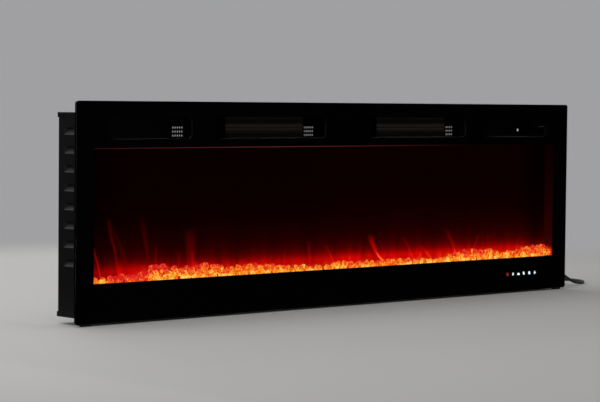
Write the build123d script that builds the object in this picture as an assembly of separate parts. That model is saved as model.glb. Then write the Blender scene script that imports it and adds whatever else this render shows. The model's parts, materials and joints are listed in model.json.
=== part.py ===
from build123d import *
import math
import os

# Electric fireplace for a recess, a wall or a table: a full-width glass front on a shallow sheet-steel box.
# Millimetres and degrees. X runs to the viewer's right, Y to the back, Z up.
# The origin is the middle of the footprint, on the surface that the feet stand on.

# Front glass, with the lit window and four air slots
front_width = 1524.0
front_height = 457.0
front_corner = 6.0
glass_thickness = 5.0
glass_arris = 0.6
window_side_margin = 48.0
window_bottom_margin = 82.0
window_below_slots = 19.0
slot_height = 45.0
slot_corner = 10.0
slot_top_margin = 33.0
inner_slot_width = 321.0
outer_slot_width = 222.0
slot_end_margin = 82.0

# Steel carrier frame bonded to the back of the glass
carrier_sheet = 1.2
carrier_inset = 3.0
slot_reveal = 1.0
tab_width = 30.0
tab_length = 18.0
tab_screw_from_root = 11.2
tab_offset = 520.0
middle_tab_offset = 180.0

# Sheet-steel housing
unit_depth = 94.0
side_overhang = 23.0
top_overhang = 23.5
bottom_overhang = 10.5
sheet = 1.0
bend_radius = 1.5
cover_lip = 11.0
rear_overhang = 3.0
side_flange = 14.0
rear_screw_pitch = 125.0
shelf_flange = 9.0
shelf_above_window = 5.0

# Louvres pressed into each side panel
louvre_pitch = 38.7
louvre_first_height = 116.0
louvre_top_margin = 25.0
louvre_length = 34.0
louvre_height = 15.0
louvre_depth = 6.0
louvre_bulge = 1.8
louvre_end_taper = 4.0
louvre_from_front = 38.8

# Vents and wall fixings in the rear panel
vent_columns = 5
vent_rows = 3
vent_pitch_x = 6.3
vent_pitch_z = 8.65
vent_width = 2.6
vent_height = 4.0
vent_below_slot = 9.7
inner_vent_offset = 38.5
outer_vent_offset = 424.0
fixing_from_side = 61.5
fixing_span_z = 300.0
fixing_below_slot = 8.5
fixing_radius = 3.5

# Feet
front_foot_height = 4.0
front_foot_width = 23.0
front_foot_from_end = 28.5
front_foot_setback = 1.0
front_foot_wall = 4.0
front_foot_clearance = 1.0
rear_foot_radius = 11.0
rear_foot_taper = 8.0
rear_foot_offset = 480.0
rear_foot_from_rear = 20.0

# Firebox: deck, ember tray, crystals, flame screen and end liners
liner_clear = 1.0
liner_flange = 10.0
deck_height = 48.0
bed_gap = 1.2
bed_depth = 23.0
tray_wall = 1.6
tray_height = 21.5
tray_floor_height = 12.0
screen_thickness = 3.0
crystal_clearance = 0.5
crystal_gap = 1.2
crystal_low_height = 25.0
crystal_rise = 15.0
crystal_waist = 0.38
crystal_base_share = 0.72
crystal_tip_share = 0.34
crystal_sides = 5
crystal_turn = 47.0
crystal_ripple_step = 1.9
crystal_ripple_share = 0.6
crystal_wave_step = 0.37

# Flame projector: cut-out mask, turning spindle, gear motor and light strip
mask_setback = 2.0
mask_height = 225.0
mask_foot = 10.0
flame_count = 22
flame_width = 17.0
flame_low_height = 70.0
flame_rise = 55.0
flame_start = 62.0
flame_height_step = 2.3
flame_lean = 9.4
flame_lean_step = 1.7
flame_belly_height = 0.4
flame_belly_lean = 0.2
spindle_radius = 3.0
spindle_height = 35.0
spindle_from_left = 84.0
spindle_to_board = 16.0
petal_pitch = 40.0
petal_turn = 52.0
petal_end_gap = 74.0
petal_clearance = 3.3
petal_width = 14.0
petal_sheet = 0.8
petal_hub_radius = 5.0
petal_hub_length = 9.0
running_clearance = 0.05
gear_motor_radius = 18.0
gear_motor_length = 20.0
gear_motor_chamfer = 2.2
motor_boss_radius = 6.0
motor_boss_length = 4.0
motor_socket = 12.0
shaft_gap = 2.0
coupling_radius = 7.0
coupling_length = 24.0
coupling_chamfer = 1.0
bracket_sheet = 1.5
bracket_clearance = 2.3
bracket_corner = 12.0
bracket_foot = 14.0
bracket_rise = 24.0
bush_radius = 7.0
bush_flange = 10.0
bush_flange_sheet = 1.5
rail_sheet = 1.2
rail_height = 34.0
rail_foot = 6.0
strip_sheet = 1.6
strip_width = 12.0
strip_drop = 9.0
strip_end_gap = 50.0
ember_end_gap = 20.0
led_count = 26
led_length = 5.0
led_width = 5.0
led_height = 1.2

# Warm-air units: cross-flow blower behind a finned heater, one for each inner slot
unit_shift = -10.0
duct_length = 232.0
duct_sheet = 1.2
duct_setback = 6.8
rotor_radius = 19.0
volute_radius = 23.0
volute_rise = 8.0
rotor_from_rear = 27.0
rotor_blades = 18
blade_sheet = 1.0
blade_depth = 6.0
blade_curve = 1.7
blade_hollow = 0.5
rotor_disc = 2.0
rotor_side_gap = 3.0
rotor_shaft_radius = 3.0
tongue_reach = 14.2
tongue_gap = 3.0
element_setback = 4.0
element_depth = 14.0
element_bar = 3.0
element_fins = 36
fin_sheet = 1.0
guard_radius = 1.2
guard_bars = 3
blower_motor_radius = 17.0
blower_motor_length = 26.0
blower_cap_radius = 11.0
blower_cap_length = 5.0
blower_cap_taper = 1.0
cutout_radius = 8.0
cutout_clearance = 1.9
cutout_flange = 11.0
cutout_flange_sheet = 1.0

# Controls behind the glass at the lower right
icon_count = 6
icon_pitch = 20.0
icon_first_from_right = 213.0
icon_height = 42.0
icon_radius = 5.0
icon_sheet = 0.8
touch_margin_x = 16.0
touch_margin_z = 12.0
board_sheet = 1.6
holder_sheet = 2.0
holder_lap = 6.0

# Power board and mains terminals inside, at the lower right
board_length = 112.0
board_from_rear = 4.0
board_from_deck = 8.4
board_to_terminal = 6.0
standoff_radius = 3.0
standoff_height = 6.0
standoff_inset = 5.0
transformer_size = (30.0, 26.0, 22.0)
relay_size = (19.0, 15.0, 15.0)
relay_count = 2
component_corner = 1.2
component_gap = 4.5
component_margin = 9.0
capacitor_radius = 5.6
capacitor_height = 18.0
terminal_length = 20.0
terminal_width = 16.0
terminal_height = 15.0
terminal_ways = 3
terminal_corner = 1.3
terminal_well_radius = 2.1
terminal_from_wall = 8.0

# Screws
screw_radius = 1.6
screw_length = 5.0
screw_head_radius = 3.4
screw_head_height = 1.9
screw_head_chamfer = 0.7

# Mains lead: gland in the right side panel, loose run, coil and plug
cord_radius = 3.5
cord_sides = 8
corner_share = 0.45
gland_height = 38.0
gland_from_rear = 25.0
gland_flange_radius = 10.0
gland_flange_sheet = 3.0
gland_neck_radius = 6.0
gland_nut_radius = 9.0
gland_nut_length = 4.0
gland_root_radius = 7.0
gland_length = 31.0
gland_lip = 0.8
coil_outer_radius = 48.5
coil_pitch = 7.6
coil_layer_half_turns = 5
coil_layer_rise = 7.7
coil_centre_x = 790.0
coil_centre_y = 112.0
cord_lift = 0.1
plug_lead = 22.0
plug_neck_radius = 5.2
plug_neck_length = 16.0
plug_neck_taper = 1.6
plug_body_length = 30.0
plug_body_width = 27.0
plug_body_height = 21.0
plug_corner = 4.0
plug_shoulder = 3.2
blade_length = 17.0
blade_width = 6.3
blade_thickness = 1.5
blade_spacing = 12.7
earth_pin_radius = 2.4
earth_pin_length = 20.0
earth_pin_drop = 5.9
blade_rise = 4.0

# Faces that several pieces share
front_y = -unit_depth / 2
glass_back_y = front_y + glass_thickness
carrier_back_y = glass_back_y + carrier_sheet
rear_lip_y = unit_depth / 2
rear_y = rear_lip_y - rear_overhang
inner_front_y = carrier_back_y + sheet
inner_rear_y = rear_y - 2 * sheet
glass_bottom_z = front_foot_height
glass_top_z = glass_bottom_z + front_height
glass_middle_z = glass_bottom_z + front_height / 2
housing_top_z = glass_top_z - top_overhang
housing_bottom_z = glass_bottom_z + bottom_overhang
floor_z = housing_bottom_z + sheet
ceiling_z = housing_top_z - sheet
panel_low_z = floor_z + bend_radius
panel_high_z = ceiling_z - bend_radius
side_x = front_width / 2 - side_overhang
inner_x = side_x - sheet
slot_z = glass_top_z - slot_top_margin - slot_height / 2
slot_low_z = slot_z - slot_height / 2
slot_high_z = slot_z + slot_height / 2
slot_gap = (front_width / 2 - slot_end_margin - inner_slot_width - outer_slot_width) / 2
inner_slot_offset = slot_gap + inner_slot_width / 2
outer_slot_offset = front_width / 2 - slot_end_margin - outer_slot_width / 2
window_bottom_z = glass_bottom_z + window_bottom_margin
window_top_z = slot_low_z - window_below_slots
window_half = front_width / 2 - window_side_margin
shelf_z = window_top_z + shelf_above_window
shelf_top_z = shelf_z + sheet
liner_x = window_half + liner_clear
deck_top_z = floor_z + deck_height
touch_back_y = glass_back_y + icon_sheet + board_sheet
holder_back_y = touch_back_y + holder_sheet
bed_front_y = holder_back_y + bed_gap
screen_front_y = bed_front_y + bed_depth
screen_back_y = screen_front_y + screen_thickness
tray_floor_z = deck_top_z + tray_floor_height
mask_y = screen_back_y + mask_setback
mask_back_y = mask_y + sheet
rail_y = inner_rear_y - rail_foot
lamp_front_y = rail_y - strip_sheet - led_height
terminal_x = inner_x - terminal_from_wall - terminal_length / 2
board_middle = terminal_x - terminal_length / 2 - board_to_terminal - board_length / 2
spindle_start = spindle_from_left - inner_x
spindle_end = board_middle - board_length / 2 - spindle_to_board
spindle_length = spindle_end - spindle_start
spindle_y = (mask_back_y + lamp_front_y) / 2
spindle_z = floor_z + spindle_height
strip_length = spindle_length - 2 * strip_end_gap
flame_middle_x = (spindle_start + spindle_end) / 2
flame_left_x = flame_middle_x - strip_length / 2


def upright(profile, back_y, thickness):
    """A plate that stands across the unit, from a profile drawn in X and Z."""
    plane = Plane((0, back_y, 0), x_dir=(1, 0, 0), z_dir=(0, -1, 0))
    return extrude(plane * profile, amount=thickness)


def along_x(section, start_x, length):
    """A bar along the width, from a section drawn in Y and Z."""
    plane = Plane((start_x, 0, 0), x_dir=(0, 1, 0), z_dir=(1, 0, 0))
    return extrude(plane * section, amount=length)


def along_z(plan, start_z, height):
    """A post, from a plan drawn in X and Y."""
    return extrude(Pos(0, 0, start_z) * plan, amount=height)


def span(low, high):
    """A rectangle between two corners of the drawing plane."""
    middle = Pos((low[0] + high[0]) / 2, (low[1] + high[1]) / 2)
    return middle * Rectangle(abs(high[0] - low[0]), abs(high[1] - low[1]))


def folded(points, thickness, radius=bend_radius):
    """The section of a folded sheet, from the line down the middle of its thickness."""
    return trace(FilletPolyline(*points, radius=radius), thickness)


def turned(outline, axis_start, axis_direction):
    """A turned piece: outline holds (distance along the axis, radius) from end to end."""
    first = outline[0][0]
    last = outline[-1][0]
    profile = Polyline((first, 0), *outline, (last, 0), close=True)
    across = (0, 0, 1)
    normal = Vector(*axis_direction).cross(Vector(*across))
    plane = Plane(axis_start, x_dir=axis_direction, z_dir=normal)
    return revolve(plane * make_face(profile), Axis(axis_start, axis_direction))


def rod(start, direction, radius, length):
    """A round bar from one end."""
    return extrude(Plane(start, z_dir=direction) * Circle(radius), amount=length)


def screw_axis(place, outward):
    """A screw's own frame, with its head on the given point."""
    return Plane(place, z_dir=outward)


def pan_screws(places, outward):
    """Pan-head screws whose heads sit on the given points."""
    head = extrude(Circle(screw_head_radius), amount=screw_head_height)
    head = chamfer(head.edges().group_by(Axis.Z)[-1], screw_head_chamfer)
    shank = extrude(Circle(screw_radius), amount=-screw_length)
    return [screw_axis(place, outward) * (head + shank) for place in places]


def screw_holes(places, outward):
    """Clearance holes for the same screws, long enough to pass the sheets that they join."""
    bore = extrude(Circle(screw_radius + running_clearance), amount=-screw_length, both=True)
    return [screw_axis(place, outward) * bore for place in places]


parts = {}

# Front glass: one toughened sheet with its air slots cut through and every front edge dressed


def slot_profile(grow):
    """The four rounded air slots, drawn in X and Z."""
    slots = Sketch()
    for side in (-1, 1):
        for offset, width in ((inner_slot_offset, inner_slot_width), (outer_slot_offset, outer_slot_width)):
            opening = RectangleRounded(width + 2 * grow, slot_height + 2 * grow, slot_corner + grow)
            slots += Pos(side * offset, slot_z) * opening
    return slots


glass_profile = Pos(0, glass_middle_z) * RectangleRounded(front_width, front_height, front_corner)
front_glass = upright(glass_profile - slot_profile(0), glass_back_y, glass_thickness)
parts["front_glass"] = chamfer(front_glass.faces().sort_by(Axis.Y)[0].edges(), glass_arris)

# Controls: places of the touch icons, and the opening in the carrier that they shine through
icon_z = glass_bottom_z + icon_height
first_icon_x = front_width / 2 - icon_first_from_right
icon_x = [first_icon_x + icon_pitch * number for number in range(icon_count)]
touch_middle_x = (icon_x[0] + icon_x[-1]) / 2
touch_width = icon_x[-1] - icon_x[0] + 2 * touch_margin_x
touch_tall = 2 * touch_margin_z
touch_place = Pos(touch_middle_x, icon_z)

# Carrier frame: a flat steel frame behind the glass, with tabs folded back onto the housing
carrier_profile = RectangleRounded(
    front_width - 2 * carrier_inset, front_height - 2 * carrier_inset, front_corner
)
carrier_profile = Pos(0, glass_middle_z) * carrier_profile
carrier_profile -= span((-window_half, window_bottom_z), (window_half, window_top_z))
carrier_profile -= slot_profile(slot_reveal)
carrier_profile -= touch_place * Rectangle(touch_width, touch_tall)
carrier = upright(carrier_profile, carrier_back_y, carrier_sheet)
tab_x = [-tab_offset, -middle_tab_offset, middle_tab_offset, tab_offset]
tab_screw_y = carrier_back_y + tab_screw_from_root
tab_plan = Sketch()
for x in tab_x:
    tab_plan += span((x - tab_width / 2, glass_back_y), (x + tab_width / 2, carrier_back_y + tab_length))
top_tab_places = [(x, tab_screw_y, housing_top_z + carrier_sheet) for x in tab_x]
low_tab_places = [(x, tab_screw_y, housing_bottom_z - carrier_sheet) for x in tab_x]
top_tab_holes = screw_holes(top_tab_places, (0, 0, 1))
low_tab_holes = screw_holes(low_tab_places, (0, 0, -1))
carrier += along_z(tab_plan, housing_top_z, carrier_sheet)
carrier += along_z(tab_plan, housing_bottom_z - carrier_sheet, carrier_sheet)
front_foot_rise = bottom_overhang - front_foot_clearance
foot_screw_x = front_width / 2 - front_foot_from_end
foot_screw_places = [
    (side * foot_screw_x, carrier_back_y + front_foot_wall, glass_bottom_z + front_foot_rise / 2)
    for side in (-1, 1)
]
foot_holes = [
    rod((x, glass_back_y, z), (0, 1, 0), screw_radius + running_clearance, front_foot_wall + carrier_sheet)
    for x, y, z in foot_screw_places
]
parts["front_carrier"] = carrier - top_tab_holes - low_tab_holes - foot_holes

# Side panels: folded sheets with a column of louvres pressed inwards
panel_height = panel_high_z - panel_low_z
louvre_y = front_y + louvre_from_front
louvre_first_z = glass_bottom_z + louvre_first_height
louvre_room = panel_high_z - louvre_top_margin - louvre_first_z - louvre_height
louvre_count = int(louvre_room / louvre_pitch) + 1


def louvre_section(side, bottom_z):
    """The hollow of one louvre in X and Z: open outwards, its tongue rising inwards behind the cut edge."""
    outer = side * side_x
    top_z = bottom_z + louvre_height
    foot = Vector(outer, bottom_z)
    tip = Vector(side * (side_x - louvre_depth), top_z)
    chord = tip - foot
    inward = Vector(-side * chord.Y, -abs(chord.X)).normalized()
    bulged = (foot + tip) / 2 + inward * louvre_bulge
    edges = [
        Polyline((tip.X, tip.Y), (outer, top_z), (foot.X, foot.Y)),
        ThreePointArc((foot.X, foot.Y), (bulged.X, bulged.Y), (tip.X, tip.Y)),
    ]
    return make_face(edges)


def louvre_plan(side):
    """The same hollow in X and Y: its ends slope as they are drawn in, at one rate past the tongue's tip."""
    outer = side * side_x
    deeper = side * (side_x - 2 * louvre_depth)
    front = louvre_y
    back = louvre_y + louvre_length
    drawn = 2 * louvre_end_taper
    return make_face(
        Polyline((outer, front), (outer, back), (deeper, back - drawn), (deeper, front + drawn), close=True)
    )


def side_panel(side, extra_cuts):
    """A folded side wall with its louvres; extra_cuts are holes that only one side has."""
    wall_x = side * (side_x - sheet / 2)
    flange_x = side * (side_x - side_flange)
    front_fold_y = carrier_back_y + sheet / 2
    rear_fold_y = inner_rear_y + sheet / 2
    line = [(flange_x, front_fold_y), (wall_x, front_fold_y), (wall_x, rear_fold_y), (flange_x, rear_fold_y)]
    panel = along_z(folded(line, sheet), panel_low_z, panel_height)
    plan = louvre_plan(side)
    skin_plan = offset(plan, amount=sheet, kind=Kind.INTERSECTION)
    hollows = []
    for number in range(louvre_count):
        bottom_z = louvre_first_z + number * louvre_pitch
        section = louvre_section(side, bottom_z)
        skin = offset(section, amount=sheet, kind=Kind.INTERSECTION)
        kept = span(
            (side * side_x, bottom_z - louvre_height),
            (side * (side_x - 2 * louvre_depth), bottom_z + louvre_height),
        )
        bar = upright(skin & kept, louvre_y + louvre_length + sheet, louvre_length + 2 * sheet)
        panel += bar & along_z(skin_plan, bottom_z - louvre_height, 2 * louvre_height)
        hollow = upright(section, louvre_y + louvre_length, louvre_length)
        hollows.append(hollow & along_z(plan, bottom_z - louvre_height, 3 * louvre_height))
    return panel - hollows - extra_cuts


cover_screw_y = [inner_front_y + side_flange, rear_y - side_flange]
cover_lip_outer_x = side_x + sheet
top_lip_screw_z = housing_top_z - cover_lip / 2
low_lip_screw_z = housing_bottom_z + cover_lip / 2


def lip_places(side):
    """Heads of the screws that hold the lips of both covers to one side panel."""
    return [
        (side * cover_lip_outer_x, y, z) for y in cover_screw_y for z in (low_lip_screw_z, top_lip_screw_z)
    ]


left_lip_holes = screw_holes(lip_places(-1), (-1, 0, 0))
right_lip_holes = screw_holes(lip_places(1), (1, 0, 0))
gland_y = rear_y - gland_from_rear
gland_z = glass_bottom_z + gland_height
gland_hole = rod((inner_x - sheet, gland_y, gland_z), (1, 0, 0), gland_neck_radius, 3 * sheet)
rear_flange_x = side_x - side_flange / 2
rear_flange_places = [
    (side * rear_flange_x, rear_y, glass_middle_z + step * rear_screw_pitch)
    for side in (-1, 1)
    for step in (-1, 0, 1)
]
rear_flange_holes = screw_holes(rear_flange_places, (0, 1, 0))
parts["left_side_panel"] = side_panel(-1, left_lip_holes + rear_flange_holes)
parts["right_side_panel"] = side_panel(1, right_lip_holes + rear_flange_holes + [gland_hole])

# Top cover and bottom pan: the same fold, one over the side panels and one under them


def cover(outer_z, into, holes):
    """A cover sheet with lips over the side panels and a lip that stands off the rear panel."""
    middle_z = outer_z + into * sheet / 2
    lip_z = outer_z + into * cover_lip
    lip_x = side_x + sheet / 2
    line = [(-lip_x, lip_z), (-lip_x, middle_z), (lip_x, middle_z), (lip_x, lip_z)]
    shell = upright(folded(line, sheet), rear_lip_y, rear_lip_y - carrier_back_y)
    rear_lip = span((-side_x, outer_z), (side_x, lip_z))
    return shell + upright(rear_lip, rear_lip_y, sheet) - holes


pan_hole_radius = screw_radius + running_clearance
rear_foot_y = rear_y - rear_foot_from_rear
rear_foot_places = [(side * rear_foot_offset, rear_foot_y, floor_z) for side in (-1, 1)]
foot_pin_holes = [
    rod((x, y, 0), (0, 0, 1), pan_hole_radius, floor_z + screw_length) for x, y, z in rear_foot_places
]
parts["top_cover"] = cover(housing_top_z, -1, top_tab_holes + left_lip_holes + right_lip_holes)
parts["bottom_pan"] = cover(
    housing_bottom_z, 1, low_tab_holes + left_lip_holes + right_lip_holes + foot_pin_holes
)

# Rear panel: a flat sheet with vent clusters behind the blowers and four wall-fixing holes
vent_z = slot_z - vent_below_slot
fixing_z = slot_z - fixing_below_slot - fixing_span_z / 2
rear_profile = span((-side_x, panel_low_z), (side_x, panel_high_z))
vents = GridLocations(vent_pitch_x, vent_pitch_z, vent_columns, vent_rows)
for x in (-outer_vent_offset, -inner_vent_offset, inner_vent_offset, outer_vent_offset):
    rear_profile -= [Pos(x, vent_z) * place * Rectangle(vent_width, vent_height) for place in vents]
fixing_span_x = 2 * (side_x - fixing_from_side)
fixings = GridLocations(fixing_span_x, fixing_span_z, 2, 2)
rear_profile -= [Pos(0, fixing_z) * place * Circle(fixing_radius) for place in fixings]
parts["rear_panel"] = upright(rear_profile, rear_y, sheet) - rear_flange_holes

# Heater shelf: the divider above the firebox, folded up at the front and the back
shelf_middle_z = shelf_z + sheet / 2
shelf_lip_z = shelf_z + shelf_flange
shelf_line = [
    (inner_front_y + sheet / 2, shelf_lip_z),
    (inner_front_y + sheet / 2, shelf_middle_z),
    (inner_rear_y - sheet / 2, shelf_middle_z),
    (inner_rear_y - sheet / 2, shelf_lip_z),
]
shelf_half = inner_x - bend_radius
parts["heater_shelf"] = along_x(folded(shelf_line, sheet), -shelf_half, 2 * shelf_half)

# Firebox end liners: angles that close the ends of the lit window


def liner(side):
    """An angle with its flange behind the side panel's front fold."""
    wall_x = side * (liner_x + sheet / 2)
    flange_end_x = side * (liner_x + liner_flange)
    fold_y = inner_front_y + sheet / 2
    line = [(flange_end_x, fold_y), (wall_x, fold_y), (wall_x, screen_back_y)]
    return along_z(folded(line, sheet), floor_z, shelf_z - floor_z)


parts["left_firebox_liner"] = liner(-1)
parts["right_firebox_liner"] = liner(1)

# Burner deck: an inverted channel that carries the ember lights, the tray and the flame screen
deck_line = [
    (bed_front_y + sheet / 2, floor_z),
    (bed_front_y + sheet / 2, deck_top_z - sheet / 2),
    (screen_back_y - sheet / 2, deck_top_z - sheet / 2),
    (screen_back_y - sheet / 2, floor_z),
]
parts["burner_deck"] = along_x(folded(deck_line, sheet), -liner_x, 2 * liner_x)

# Flame screen: a smoked diffusing sheet from the deck to the shelf
screen_profile = span((-liner_x, deck_top_z), (liner_x, shelf_z))
parts["flame_screen"] = upright(screen_profile, screen_back_y, screen_thickness)

# Ember tray: a clear trough on two legs over the ember lights
tray_section = span((bed_front_y, deck_top_z), (bed_front_y + tray_wall, deck_top_z + tray_height))
tray_section += span((screen_front_y - tray_wall, deck_top_z), (screen_front_y, deck_top_z + tray_height))
tray_section += span((bed_front_y, tray_floor_z), (screen_front_y, tray_floor_z + tray_wall))
parts["ember_tray"] = along_x(tray_section, -liner_x, 2 * liner_x)

# Ember crystals: cut lumps of uneven height, side by side in the tray
crystal_radius = bed_depth / 2 - tray_wall - crystal_clearance
crystal_pitch = 2 * crystal_radius + crystal_gap


def crystal(number, x, y, base_z):
    """One lump: it widens to a waist and narrows to a flat tip, turned a little each time."""
    ripple = crystal_ripple_share * math.sin(number * crystal_ripple_step)
    wave = (1 - crystal_ripple_share) * math.sin(number * crystal_wave_step)
    height = crystal_low_height + crystal_rise * (1 + ripple + wave) / 2
    levels = (
        (base_z, crystal_radius * crystal_base_share),
        (base_z + height * crystal_waist, crystal_radius),
        (base_z + height, crystal_radius * crystal_tip_share),
    )
    rings = []
    for z, radius in levels:
        turns = [number * crystal_turn + 360 / crystal_sides * side for side in range(crystal_sides)]
        rings.append([Vector(x, y, z) + Vector(radius, 0, 0).rotate(Axis.Z, turn) for turn in turns])
    facets = [rings[0], rings[-1]]
    for lower, upper in zip(rings, rings[1:]):
        for side in range(crystal_sides):
            facets.append([lower[side - 1], lower[side], upper[side], upper[side - 1]])
    return Solid(Shell([Face(Wire.make_polygon(corners)) for corners in facets]))


crystal_count = int((2 * liner_x - 2 * crystal_radius) / crystal_pitch) + 1
crystal_y = (bed_front_y + screen_front_y) / 2
crystal_start_x = -(crystal_count - 1) * crystal_pitch / 2
parts["ember_crystals"] = Compound(
    children=[
        crystal(number, crystal_start_x + number * crystal_pitch, crystal_y, tray_floor_z + tray_wall)
        for number in range(crystal_count)
    ]
)

# Ember lights: a narrow circuit board on the deck with a row of lamps under the tray


def lamp_places(middle_x, length):
    """Evenly spaced lamps along a strip."""
    step = length / led_count
    return [middle_x - length / 2 + step * (number + 0.5) for number in range(led_count)]


ember_strip_length = 2 * (liner_x - ember_end_gap)
ember_board = extrude(Rectangle(ember_strip_length, strip_width), amount=strip_sheet)
ember_lamp = extrude(Rectangle(led_length, led_width), amount=led_height)
ember_strip = Pos(0, crystal_y, deck_top_z) * ember_board
for x in lamp_places(0, ember_strip_length):
    ember_strip += Pos(x, crystal_y, deck_top_z + strip_sheet) * ember_lamp
parts["ember_light_strip"] = ember_strip

# Flame mask: a sheet with flame-shaped openings, on a folded foot
mask_foot_y = mask_y + mask_foot


def flame(number):
    """One flame opening in X and Z: a leaf that leans, its tip a point."""
    height = flame_low_height + flame_rise * (1 + math.sin(number * flame_height_step)) / 2
    lean = flame_lean * math.sin(number * flame_lean_step)
    belly_x = lean * flame_belly_lean
    belly_z = height * flame_belly_height
    tip = (lean, height)
    left = ThreePointArc((0, 0), (belly_x - flame_width / 2, belly_z), tip)
    right = ThreePointArc(tip, (belly_x + flame_width / 2, belly_z), (0, 0))
    return make_face([left, right])


mask_line = [
    (mask_y + sheet / 2, floor_z + mask_height),
    (mask_y + sheet / 2, floor_z + sheet / 2),
    (mask_foot_y, floor_z + sheet / 2),
]
flame_mask = along_x(folded(mask_line, sheet), flame_left_x, strip_length)
flame_step = strip_length / flame_count
flame_cuts = [
    Pos(flame_left_x + flame_step * (number + 0.5), floor_z + flame_start) * flame(number)
    for number in range(flame_count)
]
parts["flame_mask"] = flame_mask - [upright(cut, mask_y + 2 * sheet, 3 * sheet) for cut in flame_cuts]

# Flame spindle: a turning rod whose bright petals sweep the light up the screen
parts["spindle_shaft"] = rod((spindle_start, spindle_y, spindle_z), (1, 0, 0), spindle_radius, spindle_length)
petal_span = lamp_front_y - mask_back_y - 2 * petal_clearance
petal_count = int((spindle_length - 2 * petal_end_gap) / petal_pitch) + 1


def petal(number):
    """A two-winged bright petal on a short hub, whose six-sided bore grips the rod on its flats."""
    hub = extrude(RegularPolygon(petal_hub_radius, 6), amount=petal_hub_length)
    vane_lift = (petal_hub_length - petal_width) / 2
    vane = Pos(0, 0, vane_lift) * extrude(Rectangle(petal_span, petal_sheet), amount=petal_width)
    bore_start = Pos(0, 0, -petal_width)
    bore_plan = RegularPolygon(spindle_radius, 6, major_radius=False)
    bore = bore_start * extrude(bore_plan, amount=3 * petal_width)
    first = flame_middle_x - petal_pitch * (petal_count - 1) / 2
    start = (first + petal_pitch * number - petal_hub_length / 2, spindle_y, spindle_z)
    plane = Plane(start, x_dir=(0, 1, 0), z_dir=(1, 0, 0))
    return plane * Rot(0, 0, petal_turn * number) * (hub + vane - bore)


parts["spindle_petals"] = Compound(children=[petal(number) for number in range(petal_count)])

# Gear motor, its shaft, the rubber coupling and the two bearing brackets of the spindle
coupling_start = spindle_start - shaft_gap / 2 - coupling_length / 2
coupling = rod((coupling_start, spindle_y, spindle_z), (1, 0, 0), coupling_radius, coupling_length)
coupling_bore = rod((coupling_start, spindle_y, spindle_z), (1, 0, 0), spindle_radius, coupling_length)
parts["spindle_coupling"] = chamfer(coupling.edges(), coupling_chamfer) - coupling_bore
bracket_x = coupling_start - motor_boss_length - shaft_gap
shaft_end = spindle_start - shaft_gap
shaft_start = bracket_x - bracket_sheet - motor_socket
motor_axis = (bracket_x - bracket_sheet, spindle_y, spindle_z)
parts["gear_motor_shaft"] = rod(
    (shaft_start, spindle_y, spindle_z), (1, 0, 0), spindle_radius, shaft_end - shaft_start
)
gear_motor = turned(
    [
        (-gear_motor_length, gear_motor_radius - gear_motor_chamfer),
        (gear_motor_chamfer - gear_motor_length, gear_motor_radius),
        (0, gear_motor_radius),
        (0, motor_boss_radius),
        (bracket_sheet + motor_boss_length, motor_boss_radius),
    ],
    motor_axis,
    (1, 0, 0),
)
motor_bore_length = motor_socket + bracket_sheet + motor_boss_length
motor_bore = rod(
    (shaft_start, spindle_y, spindle_z), (1, 0, 0), spindle_radius + running_clearance, motor_bore_length
)
parts["gear_motor"] = gear_motor - motor_bore
bracket_width = 2 * (spindle_y - screen_back_y - bracket_clearance)


def bearing_bracket(plate_x, foot_direction, hole_radius):
    """An angle on the floor of the pan with a rounded head; plate_x is its plain face."""
    outer = plate_x - bracket_sheet if foot_direction > 0 else plate_x + bracket_sheet
    head_z = spindle_z + bracket_rise
    plate = span((spindle_y - bracket_width / 2, floor_z), (spindle_y + bracket_width / 2, head_z))
    plate = fillet(plate.vertices().group_by(Axis.Y)[-1], bracket_corner)
    plate -= Pos(spindle_y, spindle_z) * Circle(hole_radius)
    angle = along_x(plate, min(outer, plate_x), bracket_sheet)
    foot_end = outer + foot_direction * bracket_foot
    foot_plan = span((outer, spindle_y - bracket_width / 2), (foot_end, spindle_y + bracket_width / 2))
    return angle + along_z(foot_plan, floor_z, bracket_sheet)


parts["gear_motor_bracket"] = bearing_bracket(bracket_x, 1, motor_boss_radius)
bush_plate_x = spindle_end - bracket_sheet - 2 * bush_flange_sheet
parts["spindle_end_bracket"] = bearing_bracket(bush_plate_x, -1, bush_radius)


def bearing_bush(face_x, direction, collar, axis_y, axis_z, shaft_radius):
    """A flanged nylon bush seated in a plate; face_x is the plate's face that the flange meets."""
    outline = [(-collar, bush_radius), (0, bush_radius), (0, bush_flange), (bush_flange_sheet, bush_flange)]
    body = turned(outline, (face_x, axis_y, axis_z), (direction, 0, 0))
    start = (face_x - direction * 2 * collar, axis_y, axis_z)
    reach = 4 * collar + 2 * bush_flange_sheet
    return body - rod(start, (direction, 0, 0), shaft_radius + running_clearance, reach)


parts["spindle_bush"] = bearing_bush(
    bush_plate_x + bracket_sheet, 1, bracket_sheet, spindle_y, spindle_z, spindle_radius
)

# Light rail: an angle behind the spindle that carries the flame lights
rail_line = [
    (rail_y + rail_sheet / 2, floor_z + rail_height),
    (rail_y + rail_sheet / 2, floor_z + rail_sheet / 2),
    (rail_y + rail_foot, floor_z + rail_sheet / 2),
]
parts["light_rail"] = along_x(folded(rail_line, rail_sheet), flame_left_x, strip_length)
strip_z = floor_z + rail_height - strip_drop
flame_board = Pos(flame_middle_x, strip_z) * Rectangle(strip_length, strip_width)
flame_strip = upright(flame_board, rail_y, strip_sheet)
for x in lamp_places(flame_middle_x, strip_length):
    flame_strip += upright(Pos(x, strip_z) * Rectangle(led_length, led_width), rail_y - strip_sheet, led_height)
parts["flame_light_strip"] = flame_strip

# Warm-air units: a volute of sheet steel between two cheeks, a cross-flow rotor and a finned heater
duct_front_y = carrier_back_y + duct_setback
rotor_y = inner_rear_y - rotor_from_rear
rotor_z = slot_z
duct_rear_y = rotor_y + volute_radius + duct_sheet / 2
duct_low_z = rotor_z - volute_radius
duct_high_z = slot_high_z + slot_reveal
cheek_top_z = duct_high_z + duct_sheet / 2


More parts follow.
